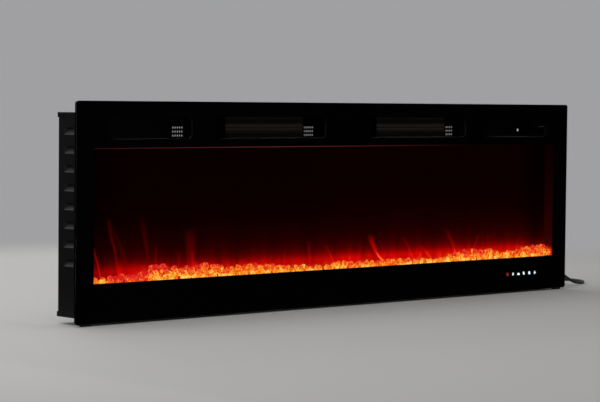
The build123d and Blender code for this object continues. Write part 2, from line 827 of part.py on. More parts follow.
def heater_duct(middle_x):
    """Volute and upper tongue between end cheeks that stand on the shelf."""
    volute = folded(
        [
            (duct_front_y, duct_low_z),
            (rotor_y + volute_radius, duct_low_z),
            (rotor_y + volute_radius, rotor_z + volute_rise),
        ],
        duct_sheet,
        volute_radius - duct_sheet,
    )
    tongue_y = rotor_y - tongue_reach
    tongue = folded(
        [
            (duct_front_y, duct_high_z),
            (tongue_y, duct_high_z),
            (tongue_y + tongue_gap, rotor_z + rotor_radius),
        ],
        duct_sheet,
    )
    cheek = span((duct_front_y, shelf_top_z), (duct_rear_y, cheek_top_z))
    cheek -= Pos(rotor_y, rotor_z) * Circle(bush_radius)
    start = middle_x - duct_length / 2
    duct = along_x(volute, start, duct_length) + along_x(tongue, start, duct_length)
    duct += along_x(cheek, start, duct_sheet)
    return duct + along_x(cheek, start + duct_length - duct_sheet, duct_sheet)


def blower_rotor(middle_x):
    """A drum of curved blades between discs, with a shaft stub at each end."""
    inside = duct_length / 2 - duct_sheet
    drum_half = inside - rotor_side_gap
    inner = rotor_radius - blade_depth
    outer_point = (rotor_radius - blade_sheet / 2, 0)
    inner_point = (inner, blade_curve)
    middle_point = ((rotor_radius + inner) / 2, -blade_hollow)
    blade = trace(ThreePointArc(outer_point, middle_point, inner_point), blade_sheet)
    blades = Sketch() + [place * blade for place in PolarLocations(0, rotor_blades)]
    drum = along_x(Pos(rotor_y, rotor_z) * blades, middle_x - drum_half, 2 * drum_half)
    disc = Pos(rotor_y, rotor_z) * Circle(rotor_radius)
    disc_x = (-drum_half - rotor_disc, -rotor_disc / 2, drum_half)
    for x in disc_x:
        drum += along_x(disc, middle_x + x, rotor_disc)
    stub_reach = inside + duct_sheet + bush_flange_sheet + motor_socket
    stub = Pos(rotor_y, rotor_z) * Circle(rotor_shaft_radius)
    drum += along_x(stub, middle_x + drum_half, stub_reach - drum_half)
    left_reach = inside + duct_sheet + 2 * bush_flange_sheet
    return drum + along_x(stub, middle_x - left_reach, left_reach - drum_half)


def blower_motor(middle_x):
    """A round motor whose boss sits in the right cheek."""
    face_x = middle_x + duct_length / 2
    body = turned(
        [
            (-duct_sheet, bush_radius),
            (0, bush_radius),
            (0, blower_motor_radius),
            (blower_motor_length, blower_motor_radius),
            (blower_motor_length, blower_cap_radius),
            (blower_motor_length + blower_cap_length, blower_cap_radius - blower_cap_taper),
        ],
        (face_x, rotor_y, rotor_z),
        (1, 0, 0),
    )
    bore_radius = rotor_shaft_radius + running_clearance
    bore_start = face_x - 2 * duct_sheet
    bore_length = 2 * duct_sheet + bush_flange_sheet + motor_socket + shaft_gap
    return body - rod((bore_start, rotor_y, rotor_z), (1, 0, 0), bore_radius, bore_length)


element_low_z = duct_low_z + duct_sheet / 2
element_high_z = duct_high_z - duct_sheet / 2
element_front_y = duct_front_y + element_setback


def heating_element(middle_x):
    """Two rows of upright fins between three flat bars, filling the mouth of the duct."""
    length = duct_length - 2 * duct_sheet
    tall = element_high_z - element_low_z
    row_tall = (tall - 3 * element_bar) / 2
    fin_pitch = length / element_fins
    profile = Rectangle(length, tall)
    gaps = GridLocations(fin_pitch, row_tall + element_bar, element_fins, 2)
    profile -= [place * Rectangle(fin_pitch - fin_sheet, row_tall) for place in gaps]
    profile = Pos(middle_x, (element_low_z + element_high_z) / 2) * profile
    return upright(profile, element_front_y + element_depth, element_depth)


def outlet_guard(middle_x):
    """Round bars across the mouth of the duct, from cheek to cheek."""
    length = duct_length - 2 * duct_sheet
    bar_step = (element_high_z - element_low_z) / (guard_bars + 1)
    bar_y = duct_front_y + element_setback / 2
    bars = []
    for number in range(guard_bars):
        start = (middle_x - length / 2, bar_y, element_low_z + bar_step * (number + 1))
        bars.append(rod(start, (1, 0, 0), guard_radius, length))
    return Compound(children=bars)


def thermal_cutout(middle_x):
    """A disc thermostat on the upper wall of the duct, just under the top cover."""
    base = (middle_x, element_front_y + element_depth / 2, cheek_top_z)
    cutout_height = ceiling_z - cheek_top_z - cutout_clearance
    outline = [
        (0, cutout_flange),
        (cutout_flange_sheet, cutout_flange),
        (cutout_flange_sheet, cutout_radius),
        (cutout_height, cutout_radius),
    ]
    profile = make_face(Polyline((0, 0), *[(r, h) for h, r in outline], (0, cutout_height), close=True))
    return Pos(*base) * revolve(Plane.XZ * profile, Axis.Z)


for name, side in (("left", -1), ("right", 1)):
    middle = side * inner_slot_offset + unit_shift
    parts[name + "_heater_duct"] = heater_duct(middle)
    parts[name + "_heating_element"] = heating_element(middle)
    parts[name + "_outlet_guard"] = outlet_guard(middle)
    parts[name + "_blower_rotor"] = blower_rotor(middle)
    parts[name + "_blower_motor"] = blower_motor(middle)
    parts[name + "_blower_bush"] = bearing_bush(
        middle - duct_length / 2, -1, duct_sheet, rotor_y, rotor_z, rotor_shaft_radius
    )
    parts[name + "_thermal_cutout"] = thermal_cutout(middle)

# Touch controls: light pads on the glass, the board behind them and the holder that presses it on
pads = [upright(Pos(x, icon_z) * Circle(icon_radius), glass_back_y + icon_sheet, icon_sheet) for x in icon_x]
parts["power_icon_pad"] = pads[0]
parts["icon_pads"] = Compound(children=pads[1:])
touch_profile = touch_place * Rectangle(touch_width - 2 * slot_reveal, touch_tall - 2 * slot_reveal)
parts["touch_board"] = upright(touch_profile, touch_back_y, board_sheet)
holder_outer = Rectangle(touch_width + 2 * holder_lap, touch_tall + 2 * holder_lap)
holder_inner = Rectangle(touch_width - 2 * slot_reveal, touch_tall - 2 * slot_reveal)
holder = upright(touch_place * holder_outer, holder_back_y, holder_back_y - carrier_back_y)
parts["touch_holder"] = holder - upright(touch_place * holder_inner, touch_back_y, board_sheet)

# Power board on four posts, with its transformer, relays and capacitor
board_width = inner_rear_y - board_from_rear - screen_back_y - board_from_deck
board_y = inner_rear_y - board_from_rear - board_width / 2
board_z = floor_z + standoff_height
board_corners = GridLocations(
    board_length - 2 * standoff_inset, board_width - 2 * standoff_inset, 2, 2
)
post = extrude(Circle(standoff_radius), amount=standoff_height)
parts["board_posts"] = Compound(
    children=[Pos(board_middle, board_y, floor_z) * place * post for place in board_corners]
)
power_board = Pos(board_middle, board_y, board_z) * extrude(
    Rectangle(board_length, board_width), amount=board_sheet
)
board_top_z = board_z + board_sheet
component_x = board_middle - board_length / 2 + component_margin
for length, width, height in [transformer_size] + [relay_size] * relay_count:
    block = extrude(RectangleRounded(length, width, component_corner), amount=height)
    power_board += Pos(component_x + length / 2, board_y, board_top_z) * block
    component_x += length + component_gap
capacitor = extrude(Circle(capacitor_radius), amount=capacitor_height)
power_board += Pos(component_x + capacitor_radius, board_y, board_top_z) * capacitor
parts["power_board"] = power_board

# Mains terminal block on the floor of the pan, below the gland
terminal_y = screen_back_y + mask_foot + terminal_width / 2
terminal_plan = RectangleRounded(terminal_length, terminal_width, terminal_corner)
terminal = extrude(terminal_plan, amount=terminal_height)
wells = GridLocations(terminal_length / terminal_ways, 0, terminal_ways, 1)
well = extrude(Circle(terminal_well_radius), amount=-terminal_height / 2)
terminal -= [Pos(0, 0, terminal_height) * place * well for place in wells]
parts["terminal_block"] = Pos(terminal_x, terminal_y, floor_z) * terminal

# Feet: rubber angles under the ends of the glass, and tapered studs under the back of the pan
foot_front_y = front_y + front_foot_setback
foot_back_y = carrier_back_y + front_foot_wall
foot_section = span((foot_front_y, 0), (foot_back_y, front_foot_height))
foot_section += span((carrier_back_y, 0), (foot_back_y, front_foot_height + front_foot_rise))
feet = []
for side in (-1, 1):
    middle = side * foot_screw_x
    feet.append(along_x(foot_section, middle - front_foot_width / 2, front_foot_width) - foot_holes)
parts["front_feet"] = Compound(children=feet)
rear_feet = []
for x, y, z in rear_foot_places:
    plan = Pos(x, y, 0) * Circle(rear_foot_taper)
    top = Pos(x, y, housing_bottom_z) * Circle(rear_foot_radius)
    peg = rod((x, y, housing_bottom_z), (0, 0, 1), screw_radius, 2 * sheet)
    rear_feet.append(loft([plan, top]) + peg)
parts["rear_feet"] = Compound(children=rear_feet)

# Screws, grouped by what they fix
cover_screws = pan_screws(lip_places(-1), (-1, 0, 0)) + pan_screws(lip_places(1), (1, 0, 0))
parts["cover_screws"] = Compound(children=cover_screws)
frame_screws = pan_screws(top_tab_places, (0, 0, 1)) + pan_screws(low_tab_places, (0, 0, -1))
parts["frame_screws"] = Compound(children=frame_screws)
parts["rear_panel_screws"] = Compound(children=pan_screws(rear_flange_places, (0, 1, 0)))
parts["foot_screws"] = Compound(children=pan_screws(foot_screw_places, (0, 1, 0)))

# Cable gland: a flange, a neck through the side panel, an inner nut and a tapered bend guard
gland_tip_x = side_x + gland_flange_sheet + gland_length
parts["cord_gland"] = turned(
    [
        (-sheet - gland_nut_length, gland_nut_radius),
        (-sheet, gland_nut_radius),
        (-sheet, gland_neck_radius),
        (0, gland_neck_radius),
        (0, gland_flange_radius),
        (gland_flange_sheet, gland_flange_radius),
        (gland_flange_sheet, gland_root_radius),
        (gland_flange_sheet + gland_length, cord_radius + gland_lip),
    ],
    (side_x, gland_y, gland_z),
    (1, 0, 0),
)

# Mains lead: a loose run on the floor that enters the coil on its outer turn
cord_z = cord_radius + cord_lift
coil_start = (coil_centre_x, coil_centre_y + coil_outer_radius, cord_z)
cord_points = [
    (gland_tip_x, gland_y, gland_z),
    (gland_tip_x + 24.0, gland_y, gland_z),
    (823.0, 17.5, 32.0),
    (846.0, 15.0, 18.0),
    (871.0, 14.0, cord_z + 3.0),
    (899.0, 17.0, cord_z),
    (927.0, 29.0, cord_z),
    (947.0, 54.0, cord_z),
    (955.0, 86.0, cord_z),
    (949.0, 118.0, cord_z),
    (930.0, 143.0, cord_z),
    (902.0, 157.0, cord_z),
    (867.0, 162.5, cord_z),
    (828.0, coil_start[1], cord_z),
    coil_start,
]


def route_radii(points):
    """The largest bend that each corner's shorter run allows."""
    radii = []
    for before, here, after in zip(points, points[1:], points[2:]):
        arriving = Vector(*here) - Vector(*before)
        leaving = Vector(*after) - Vector(*here)
        turn = math.radians(arriving.get_angle(leaving))
        radii.append(corner_share * min(arriving.length, leaving.length) / math.tan(turn / 2))
    return radii


cord_radii = route_radii(cord_points)
print("cord bend radii", [round(radius, 1) for radius in cord_radii])
cord_path = FilletPolyline(*cord_points, radius=cord_radii)
cord_profile = RegularPolygon(cord_radius, cord_sides)
cord_start = Plane(cord_points[0], z_dir=Vector(*cord_points[1]) - Vector(*cord_points[0]))
power_cord = sweep(cord_start * cord_profile, path=cord_path)
parts["power_cord"] = power_cord
print("cord volume over section times length", power_cord.volume / (cord_profile.area * cord_path.length))

# Coil: it winds in on the floor, climbs in one half turn and winds out again on top


def coil_path():
    """Half-turn arcs about two centres; the climb is a pair of tilted quarter turns."""
    edges = []
    place = Vector(*coil_start)
    heading = Vector(-1, 0, 0)
    step = coil_pitch / 2
    radii = [coil_outer_radius - step * number for number in range(coil_layer_half_turns)]
    for radius in radii:
        side = Vector(-heading.Y, heading.X, 0)
        middle = place + side * radius + heading * radius
        target = place + side * 2 * radius
        edges.append(ThreePointArc(place, middle, target))
        place = target
        heading = heading * -1
    climb_radius = radii[-1] - step
    side = Vector(-heading.Y, heading.X, 0)
    reach = math.sqrt(climb_radius**2 + coil_layer_rise**2 / 4)
    rise = Vector(0, 0, coil_layer_rise)
    middle = place + side * climb_radius + heading * reach + rise * 0.5
    target = place + side * 2 * climb_radius + rise
    edges.append(TangentArc(place, middle, tangent=heading))
    edges.append(TangentArc(middle, target, tangent=edges[-1] % 1))
    place = target
    heading = heading * -1
    for radius in reversed(radii):
        side = Vector(-heading.Y, heading.X, 0)
        middle = place + side * radius + heading * radius
        target = place + side * 2 * radius
        edges.append(ThreePointArc(place, middle, target))
        place = target
        heading = heading * -1
    return edges, place, heading


coil_edges, coil_end, coil_heading = coil_path()
plug_start = coil_end + coil_heading * plug_lead
coil_wire = Wire(coil_edges + [Line(coil_end, plug_start)])
coil_face = Plane(coil_start, z_dir=(-1, 0, 0)) * cord_profile
parts["cord_coil"] = sweep(coil_face, path=coil_wire)


def least_gap(wire, spacing=2.0):
    """The least distance between the surfaces of turns that lie side by side."""
    count = int(wire.length / spacing)
    points = [wire.position_at(number / count) for number in range(count + 1)]
    apart = int(math.pi * coil_outer_radius / spacing)
    least = min(
        (points[first] - points[second]).length
        for first in range(count + 1)
        for second in range(first + apart, count + 1)
    )
    return least - 2 * cord_radius


print("coil least gap", round(least_gap(coil_wire), 2))
print("cord length", round(cord_path.length + coil_wire.length, 1))

# Plug: a tapered neck, a moulded body, two flat blades and a round earth pin
plug_plane = Plane(plug_start, x_dir=(0, 1, 0), z_dir=coil_heading)
neck_end = plug_plane * Pos(0, 0, plug_neck_length) * Circle(plug_neck_radius + plug_neck_taper)
neck = loft([plug_plane * Circle(plug_neck_radius), neck_end])
plug_face = RectangleRounded(plug_body_width, plug_body_height, plug_corner)
plug_core = extrude(plug_plane * Pos(0, 0, plug_neck_length) * plug_face, amount=plug_body_length)
shoulder = plug_core.faces().sort_by(Axis.X)[0].edges()
plug_core = chamfer(shoulder, plug_shoulder)
parts["plug_body"] = neck + plug_core
plug_nose = plug_neck_length + plug_body_length
blade = Rectangle(blade_thickness, blade_width)
pins = []
for side in (-1, 1):
    place = Pos(side * blade_spacing / 2, blade_rise, plug_nose)
    pins.append(extrude(plug_plane * place * blade, amount=blade_length))
earth = plug_plane * Pos(0, -earth_pin_drop, plug_nose)
pins.append(extrude(earth * Circle(earth_pin_radius), amount=earth_pin_length))
parts["plug_pins"] = Compound(children=pins)

os.makedirs("parts", exist_ok=True)
for name, shape in parts.items():
    export_step(shape, "parts/" + name + ".step")
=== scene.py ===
import json
import math
import random

import bmesh
import bpy
from mathutils import Matrix, Vector


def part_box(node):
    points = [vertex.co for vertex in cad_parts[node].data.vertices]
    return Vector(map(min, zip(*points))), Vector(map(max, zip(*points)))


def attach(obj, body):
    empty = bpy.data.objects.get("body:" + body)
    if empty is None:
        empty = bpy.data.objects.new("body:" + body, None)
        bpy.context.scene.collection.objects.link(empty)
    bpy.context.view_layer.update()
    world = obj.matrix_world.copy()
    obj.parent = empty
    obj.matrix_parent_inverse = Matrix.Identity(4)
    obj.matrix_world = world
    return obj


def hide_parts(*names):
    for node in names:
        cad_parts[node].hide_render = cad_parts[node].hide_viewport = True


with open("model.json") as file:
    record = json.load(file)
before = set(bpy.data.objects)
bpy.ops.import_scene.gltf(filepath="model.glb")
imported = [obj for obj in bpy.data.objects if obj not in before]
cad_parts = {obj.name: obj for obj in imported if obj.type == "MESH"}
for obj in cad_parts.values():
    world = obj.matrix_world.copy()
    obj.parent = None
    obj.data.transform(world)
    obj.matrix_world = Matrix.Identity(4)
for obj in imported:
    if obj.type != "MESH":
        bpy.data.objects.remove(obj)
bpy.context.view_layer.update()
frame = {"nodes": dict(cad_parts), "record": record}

# Housing: folded sheet steel, 1 mm thick, screwed together round the works.
# It is coated with black polyester powder, which melts into a soft, faintly pebbled skin and turns
# grey with dust where it faces up. The pebbles, really 1 to 2 mm across, are drawn coarser to show.
MM = 0.001
powder_dust = "#4c4c4e"
# Dust settles where a face looks up, between these heights of its normal, and covers this much of it
dust_slopes = (0.25, 0.8)
dust_cover = 0.9


def linear(colour):
    """An sRGB hex colour as the linear numbers that a shader takes."""
    shares = [int(colour[place:place + 2], 16) / 255 for place in (1, 3, 5)]
    return tuple(v / 12.92 if v <= 0.04045 else ((v + 0.055) / 1.055) ** 2.4 for v in shares) + (1.0,)


def add_node(tree, kind, inputs=None, **settings):
    """Adds one node. Settings are its own properties, inputs its sockets' values or what feeds them."""
    node = tree.nodes.new("ShaderNode" + kind)
    for name, value in settings.items():
        setattr(node, name, value)
    for socket, value in (inputs or {}).items():
        if isinstance(value, bpy.types.NodeSocket):
            tree.links.new(value, node.inputs[socket])
        else:
            node.inputs[socket].default_value = value
    return node


def start_material(name, **sockets):
    """A material with its shader's plain sockets set. Gives it with its tree, shader and coordinates."""
    material = bpy.data.materials.new(name)
    material.use_nodes = True
    tree = material.node_tree
    shader = tree.nodes["Principled BSDF"]
    for socket, value in sockets.items():
        shader.inputs[socket.replace("_", " ")].default_value = value
    place = add_node(tree, "TexCoord").outputs["Object"]
    return material, tree, shader, place


def work_surface(tree, shader, pattern, colours, roughness, relief=0.0):
    """Lets one pattern drive a finish: its two colours, its roughness and its relief. Gives the colour."""
    # A Mix of colours has its share at socket 0, its colours at 6 and 7 and its result at output 2
    ends = [linear(colour) for colour in colours]
    tint = add_node(tree, "Mix", {0: pattern, 6: ends[0], 7: ends[1]}, data_type="RGBA").outputs[2]
    tree.links.new(tint, shader.inputs["Base Color"])
    rough = add_node(tree, "MapRange", {"Value": pattern, "To Min": roughness[0], "To Max": roughness[1]})
    tree.links.new(rough.outputs[0], shader.inputs["Roughness"])
    if relief:
        bump = add_node(tree, "Bump", {"Height": pattern, "Distance": relief})
        tree.links.new(bump.outputs["Normal"], shader.inputs["Normal"])
    return tint


def clouded_finish(name, colours, roughness, size, detail=2.0, relief=0.0, lengthwise=1.0, **sockets):
    """A finish that a cloudy pattern of a real size drives. A small lengthwise draws it out along X."""
    material, tree, shader, place = start_material(name, **sockets)
    drawn = place
    if lengthwise != 1.0:
        drawn = add_node(tree, "Mapping", {"Vector": place, "Scale": (lengthwise, 1.0, 1.0)}).outputs[0]
    clouds = add_node(tree, "TexNoise", {"Vector": drawn, "Scale": 1 / size, "Detail": detail})
    tint = work_surface(tree, shader, clouds.outputs[0], colours, roughness, relief)
    return material, tree, shader, place, tint


def dress(material, *nodes):
    """Gives a CAD node its finish."""
    for node in nodes:
        slots = frame["nodes"][node].data.materials
        slots.clear()
        slots.append(material)


def powder_coat():
    material, tree, shader, place, clean = clouded_finish(
        "black_powder_coat",
        colours=("#111112", "#19191b"),
        roughness=(0.36, 0.5),
        size=3.0 * MM,
        relief=0.05 * MM,
        Specular_IOR_Level=0.35,
    )
    facing = add_node(tree, "SeparateXYZ", {0: add_node(tree, "NewGeometry").outputs["True Normal"]})
    settling = {"From Min": dust_slopes[0], "From Max": dust_slopes[1], "To Max": dust_cover}
    dusty = add_node(tree, "MapRange", {"Value": facing.outputs["Z"], **settling})
    tint = add_node(tree, "Mix", {0: dusty.outputs[0], 6: clean, 7: linear(powder_dust)}, data_type="RGBA")
    tree.links.new(tint.outputs[2], shader.inputs["Base Color"])
    return material


dress(powder_coat(), "left_side_panel", "right_side_panel", "top_cover", "bottom_pan", "rear_panel")

# Housing screws: pan-head machine screws, blackened in a hot oxide bath and oiled.
# The bath leaves a dark, slightly brown sheen that is paler where a driver has rubbed it.
black_oxide = clouded_finish(
    "black_oxide_steel",
    colours=("#141413", "#3a3735"),
    roughness=(0.3, 0.5),
    size=2.5 * MM,
    detail=3.0,
    Metallic=0.85,
)[0]
dress(black_oxide, "cover_screws", "rear_panel_screws", "frame_screws", "foot_screws")

# Feet: black rubber angles under the ends of the glass and tapered studs under the pan.
# Moulded rubber is dull, with a dusty bloom that lifts its black a little.
moulded_rubber = clouded_finish(
    "moulded_rubber",
    colours=("#121212", "#242321"),
    roughness=(0.65, 0.85),
    size=6.0 * MM,
    detail=4.0,
    relief=0.04 * MM,
    Specular_IOR_Level=0.3,
)[0]
dress(moulded_rubber, "front_feet", "rear_feet", "spindle_coupling", "cord_gland")

# Firebox sheets: the shelf, deck, flame mask, end liners, carrier frame and outlet guards.
# They are folded from thin steel with matt heat-proof paint that goes grey where it is thin.
# The red that the fire throws on the end liners is painted into them as a glow, most at the foot, broken up
# by painted glints.
thrown_red = "#ff1c18"
thrown_base = 106 * MM
thrown_bright, thrown_bright_reach = 0.30, 5.0 * MM
thrown_faint, thrown_faint_reach = 0.039, 100 * MM
thrown_most, thrown_bend = 0.8, 0.4
thrown_glint_size = 9.0 * MM
glint_noise, glint_levels = (0.35, 0.65), (0.15, 1.2)


def stove_paint(name):
    return clouded_finish(
        name,
        colours=("#0b0a0a", "#171514"),
        roughness=(0.5, 0.75),
        size=18.0 * MM,
        detail=5.0,
        relief=0.03 * MM,
        Specular_IOR_Level=0.3,
    )


def fading(tree, height, base, level, reach):
    """A light that dies away upwards: its level at the base, and a share of 1/e of it one reach higher."""
    fall = {"Value": height, "From Min": base, "From Max": base + reach, "To Max": -1.0}
    steps = add_node(tree, "MapRange", fall, clamp=False)
    falling = add_node(tree, "Math", {0: steps.outputs[0]}, operation="EXPONENT")
    return add_node(tree, "Math", {0: falling.outputs[0], 1: level}, operation="MULTIPLY").outputs[0]


def painted_firelight_paint():
    material, tree, shader, place = stove_paint("painted_firelight_stove_paint")[:4]
    height = add_node(tree, "SeparateXYZ", {0: place}).outputs["Z"]
    # Painted firelight: a bright glow at the foot and a faint one higher up, broken into painted glints
    near = fading(tree, height, thrown_base, thrown_bright, thrown_bright_reach)
    near = add_node(tree, "Math", {0: near, 1: thrown_most, 2: thrown_bend}, operation="SMOOTH_MIN")
    far = fading(tree, height, thrown_base, thrown_faint, thrown_faint_reach)
    glint_pattern = add_node(tree, "TexNoise", {"Vector": place, "Scale": 1 / thrown_glint_size, "Detail": 1.0})
    contrast = {"From Min": glint_noise[0], "From Max": glint_noise[1]}
    contrast.update({"To Min": glint_levels[0], "To Max": glint_levels[1]})
    glint_pattern = add_node(tree, "MapRange", {"Value": glint_pattern.outputs[0], **contrast}).outputs[0]
    total = add_node(tree, "Math", {0: near.outputs[0], 1: glint_pattern, 2: far}, operation="MULTIPLY_ADD")
    shader.inputs["Emission Color"].default_value = linear(thrown_red)
    tree.links.new(total.outputs[0], shader.inputs["Emission Strength"])
    return material


stove_sheet = stove_paint("matt_stove_paint")[0]
dress(stove_sheet, "heater_shelf", "burner_deck", "flame_mask", "front_carrier")
dress(stove_sheet, "left_outlet_guard", "right_outlet_guard")
dress(painted_firelight_paint(), "left_firebox_liner", "right_firebox_liner")

# Ember and flame lights: lamps soldered along narrow circuit boards, one under the tray and one
# behind the spindle. Solder mask makes the boards a glossy green; the lamps glow amber.
mask_green = "#174a2c"
mask_green_light = "#22603b"
board_patch = 4.0 * MM
board_relief = 0.02 * MM
board_roughness = (0.25, 0.4)
lamp_amber = "#ff8a1c"
lamp_glow = 2.0
strip_sheet = 1.6 * MM
ember_strip_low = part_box("ember_light_strip")[0]
flame_strip_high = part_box("flame_light_strip")[1]


def circuit_board(name):
    material, tree, shader, place = start_material(name, Coat_Weight=0.4)
    patches = add_node(tree, "TexVoronoi", {"Vector": place, "Scale": 1 / board_patch})
    greens = (mask_green, mask_green_light)
    green = work_surface(tree, shader, patches.outputs["Distance"], greens, board_roughness, board_relief)
    return material, tree, shader, place, green


def lit_board(name, axis, edge, sense):
    """A lamp board: whatever stands proud of the board, past edge along one axis, is a lit lamp."""
    material, tree, shader, place = circuit_board(name)[:4]
    parts = add_node(tree, "SeparateXYZ", {0: place})
    beyond = add_node(tree, "Math", {0: parts.outputs[axis], 1: edge}, operation=sense)
    glow = add_node(tree, "Math", {0: beyond.outputs[0], 1: lamp_glow}, operation="MULTIPLY")
    shader.inputs["Emission Color"].default_value = linear(lamp_amber)
    tree.links.new(glow.outputs[0], shader.inputs["Emission Strength"])
    return material


dress(lit_board("ember_board", "Z", ember_strip_low.z + strip_sheet, "GREATER_THAN"), "ember_light_strip")
dress(lit_board("flame_board", "Y", flame_strip_high.y - strip_sheet, "LESS_THAN"), "flame_light_strip")
dress(circuit_board("plain_board")[0], "touch_board")

# Ember tray: a trough of clear cast acrylic that stands on the deck over the lamps.
# Polished acrylic is almost colourless, with fine sanding haze along its sawn edges.
acrylic_tint = "#f6efe6"
acrylic_haze = 5.0 * MM
acrylic_roughness = (0.02, 0.16)


def clear_acrylic():
    material, tree, shader, place = start_material(
        "clear_acrylic", Base_Color=linear(acrylic_tint), Transmission_Weight=1.0, IOR=1.49
    )
    haze = add_node(tree, "TexNoise", {"Vector": place, "Scale": 1 / acrylic_haze, "Detail": 4.0})
    polish, sanding = acrylic_roughness
    rough = add_node(tree, "MapRange", {"Value": haze.outputs[0], "To Min": polish, "To Max": sanding})
    tree.links.new(rough.outputs[0], shader.inputs["Roughness"])
    return material


dress(clear_acrylic(), "ember_tray")

# Ember crystals: a loose bed of crackled glass nuggets, heaped unevenly in the tray by hand.
# The lamps below light them through, and that glow is painted into them, from dark red to yellow, each in
# its own way, brightest at the foot of the bed, with painted highlights on the sharp edges of their facets.
bed_low, bed_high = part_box("ember_crystals")
bed_end = 713.0 * MM
nugget_pitch = 14.0 * MM
nugget_rows = 2
nugget_layer = 9.0 * MM
nugget_radius = 10.0 * MM
nugget_flat = 0.47
nugget_sizes = (0.7, 1.05)
nugget_heights = (0.75, 1.0)
nugget_shift = 0.45
nugget_jitter = 0.2
column_shift = 0.3
layer_spare = 0.3
crest_share = 0.75
crest_unrest = 3.5 * MM
bed_seed = 11
# The crest of the bed, as places along the width and the height of the bed there
bed_crest = (
    (-0.716, 0.098),
    (-0.600, 0.103),
    (-0.568, 0.107),
    (-0.550, 0.118),
    (-0.500, 0.119),
    (-0.480, 0.109),
    (-0.425, 0.115),
    (-0.365, 0.114),
    (-0.335, 0.103),
    (-0.270, 0.113),
    (-0.225, 0.105),
    (-0.100, 0.099),
    (-0.050, 0.096),
    (-0.005, 0.104),
    (0.060, 0.098),
    (0.150, 0.100),
    (0.345, 0.097),
    (0.380, 0.111),
    (0.480, 0.112),
    (0.550, 0.101),
    (0.620, 0.109),
    (0.716, 0.115),
)
# A few small nuggets have rolled on to the rim of the tray at the right end: place and height
rim_nugget_y = -37.0 * MM
rim_nugget_radius = 6.5 * MM
# The nuggets on the rim get a dimmer painted glow
rim_dimming = 0.26
rim_nuggets = (
    (0.713, 0.0912),
    (0.713, 0.0970),
    (0.704, 0.0912),
    (0.704, 0.0985),
    (0.701, 0.1045),
    (0.695, 0.0912),
    (0.694, 0.0990),
    (0.686, 0.0912),
)
# Levels of the painted glow, as places on the colour ramp below
nugget_glow = (0.22, 0.80)
corner_glow = 0.14
crest_dimming = 0.15
highlight_share = 0.06
highlight_glow = 0.42
facet_shading = 0.12
edge_highlight = 0.14
facet_edge = 0.9 * MM
crack_spacing = 7.5 * MM
crack_width = 0.22
crack_highlight, between_cracks_glow = 0.26, -0.14
foot_glow_z = 86 * MM
crest_glow_z = 116 * MM
foot_glow_level, crest_glow_level = 0.12, -0.38
dull_middle = -613 * MM
dull_reach = 62 * MM
dull_core = 0.7
dull_glow = -0.44
glass_ember = "#380a04"
ember_level = 1.26
ember_colours = (
    (0.0, "#d0161a"),
    (0.2, "#ea3628"),
    (0.4, "#ee5318"),
    (0.6, "#f97f17"),
    (0.8, "#ff9c1e"),
    (1.0, "#ffcd5c"),
)


def make_piece(bm, name, material):
    """Turns a finished bmesh into an object of the scene, with its material."""
    mesh = bpy.data.meshes.new(name)
    bm.to_mesh(mesh)
    bm.free()
    mesh.materials.append(material)
    piece = bpy.data.objects.new(name, mesh)
    bpy.context.scene.collection.objects.link(piece)
    return piece


def crest_at(x):
    """The height of the bed at one place along the width."""
    for (start, low), (end, high) in zip(bed_crest, bed_crest[1:]):
        if x <= end:
            return low + (high - low) * (x - start) / (end - start)
    return bed_crest[-1][1]


def add_nugget(bm, heat, draw, radius, x, y, z, dimming=0.0):
    """One faceted lump with a size, a turn and a painted glow of its own, flattened to lie in its row."""
    turn = Matrix.Rotation(draw.uniform(0, math.tau), 4, [draw.gauss(0, 1) for axis in range(3)])
    size = radius * draw.uniform(*nugget_sizes)
    shape = Matrix.Diagonal((size, radius * nugget_flat, size * draw.uniform(*nugget_heights), 1))
    across = x + nugget_pitch * draw.uniform(-nugget_shift, nugget_shift)
    place = Matrix.Translation((min(max(across, size - bed_end), bed_end - size), y, z))
    lump = bmesh.ops.create_icosphere(bm, subdivisions=1, radius=1 - nugget_jitter, matrix=turn)
    # Each corner gets a painted glow, and a few get a painted highlight
    own_glow = draw.uniform(*nugget_glow) - dimming
    for corner in lump["verts"]:
        corner.co *= draw.uniform(1 - nugget_jitter, 1 + nugget_jitter)
        corner[heat] = own_glow + draw.uniform(-corner_glow, corner_glow)
        if draw.random() < highlight_share:
            corner[heat] += highlight_glow
    bmesh.ops.transform(bm, matrix=place @ shape, verts=lump["verts"])


def crystal_bed():
    draw = random.Random(bed_seed)
    bm = bmesh.new()
    heat = bm.verts.layers.float.new("nugget_glow")
    row_step = (bed_high.y - bed_low.y) / nugget_rows
    for number in range(int(2 * bed_end / nugget_pitch) * nugget_rows):
        column, row = divmod(number, nugget_rows)
        x = nugget_pitch * (column + 0.5 + draw.uniform(-column_shift, column_shift)) - bed_end
        y = bed_low.y + row_step * (row + 0.5)
        foot = bed_low.z + nugget_sizes[1] * nugget_radius
        crest = crest_at(x) - crest_share * nugget_radius
        top = max(foot, crest + draw.uniform(-crest_unrest, crest_unrest))
        layers = 1 + round((top - foot) / nugget_layer + layer_spare)
        for layer in range(layers):
            z = foot + (top - foot) * layer / max(1, layers - 1)
            # The top layer of the bed gets a dimmer painted glow
            dimming = crest_dimming if layer and layer == layers - 1 else 0.0
            add_nugget(bm, heat, draw, nugget_radius, x, y, z, dimming)
    for x, z in rim_nuggets:
        add_nugget(bm, heat, draw, rim_nugget_radius, x, rim_nugget_y, z, rim_dimming)
    return bm


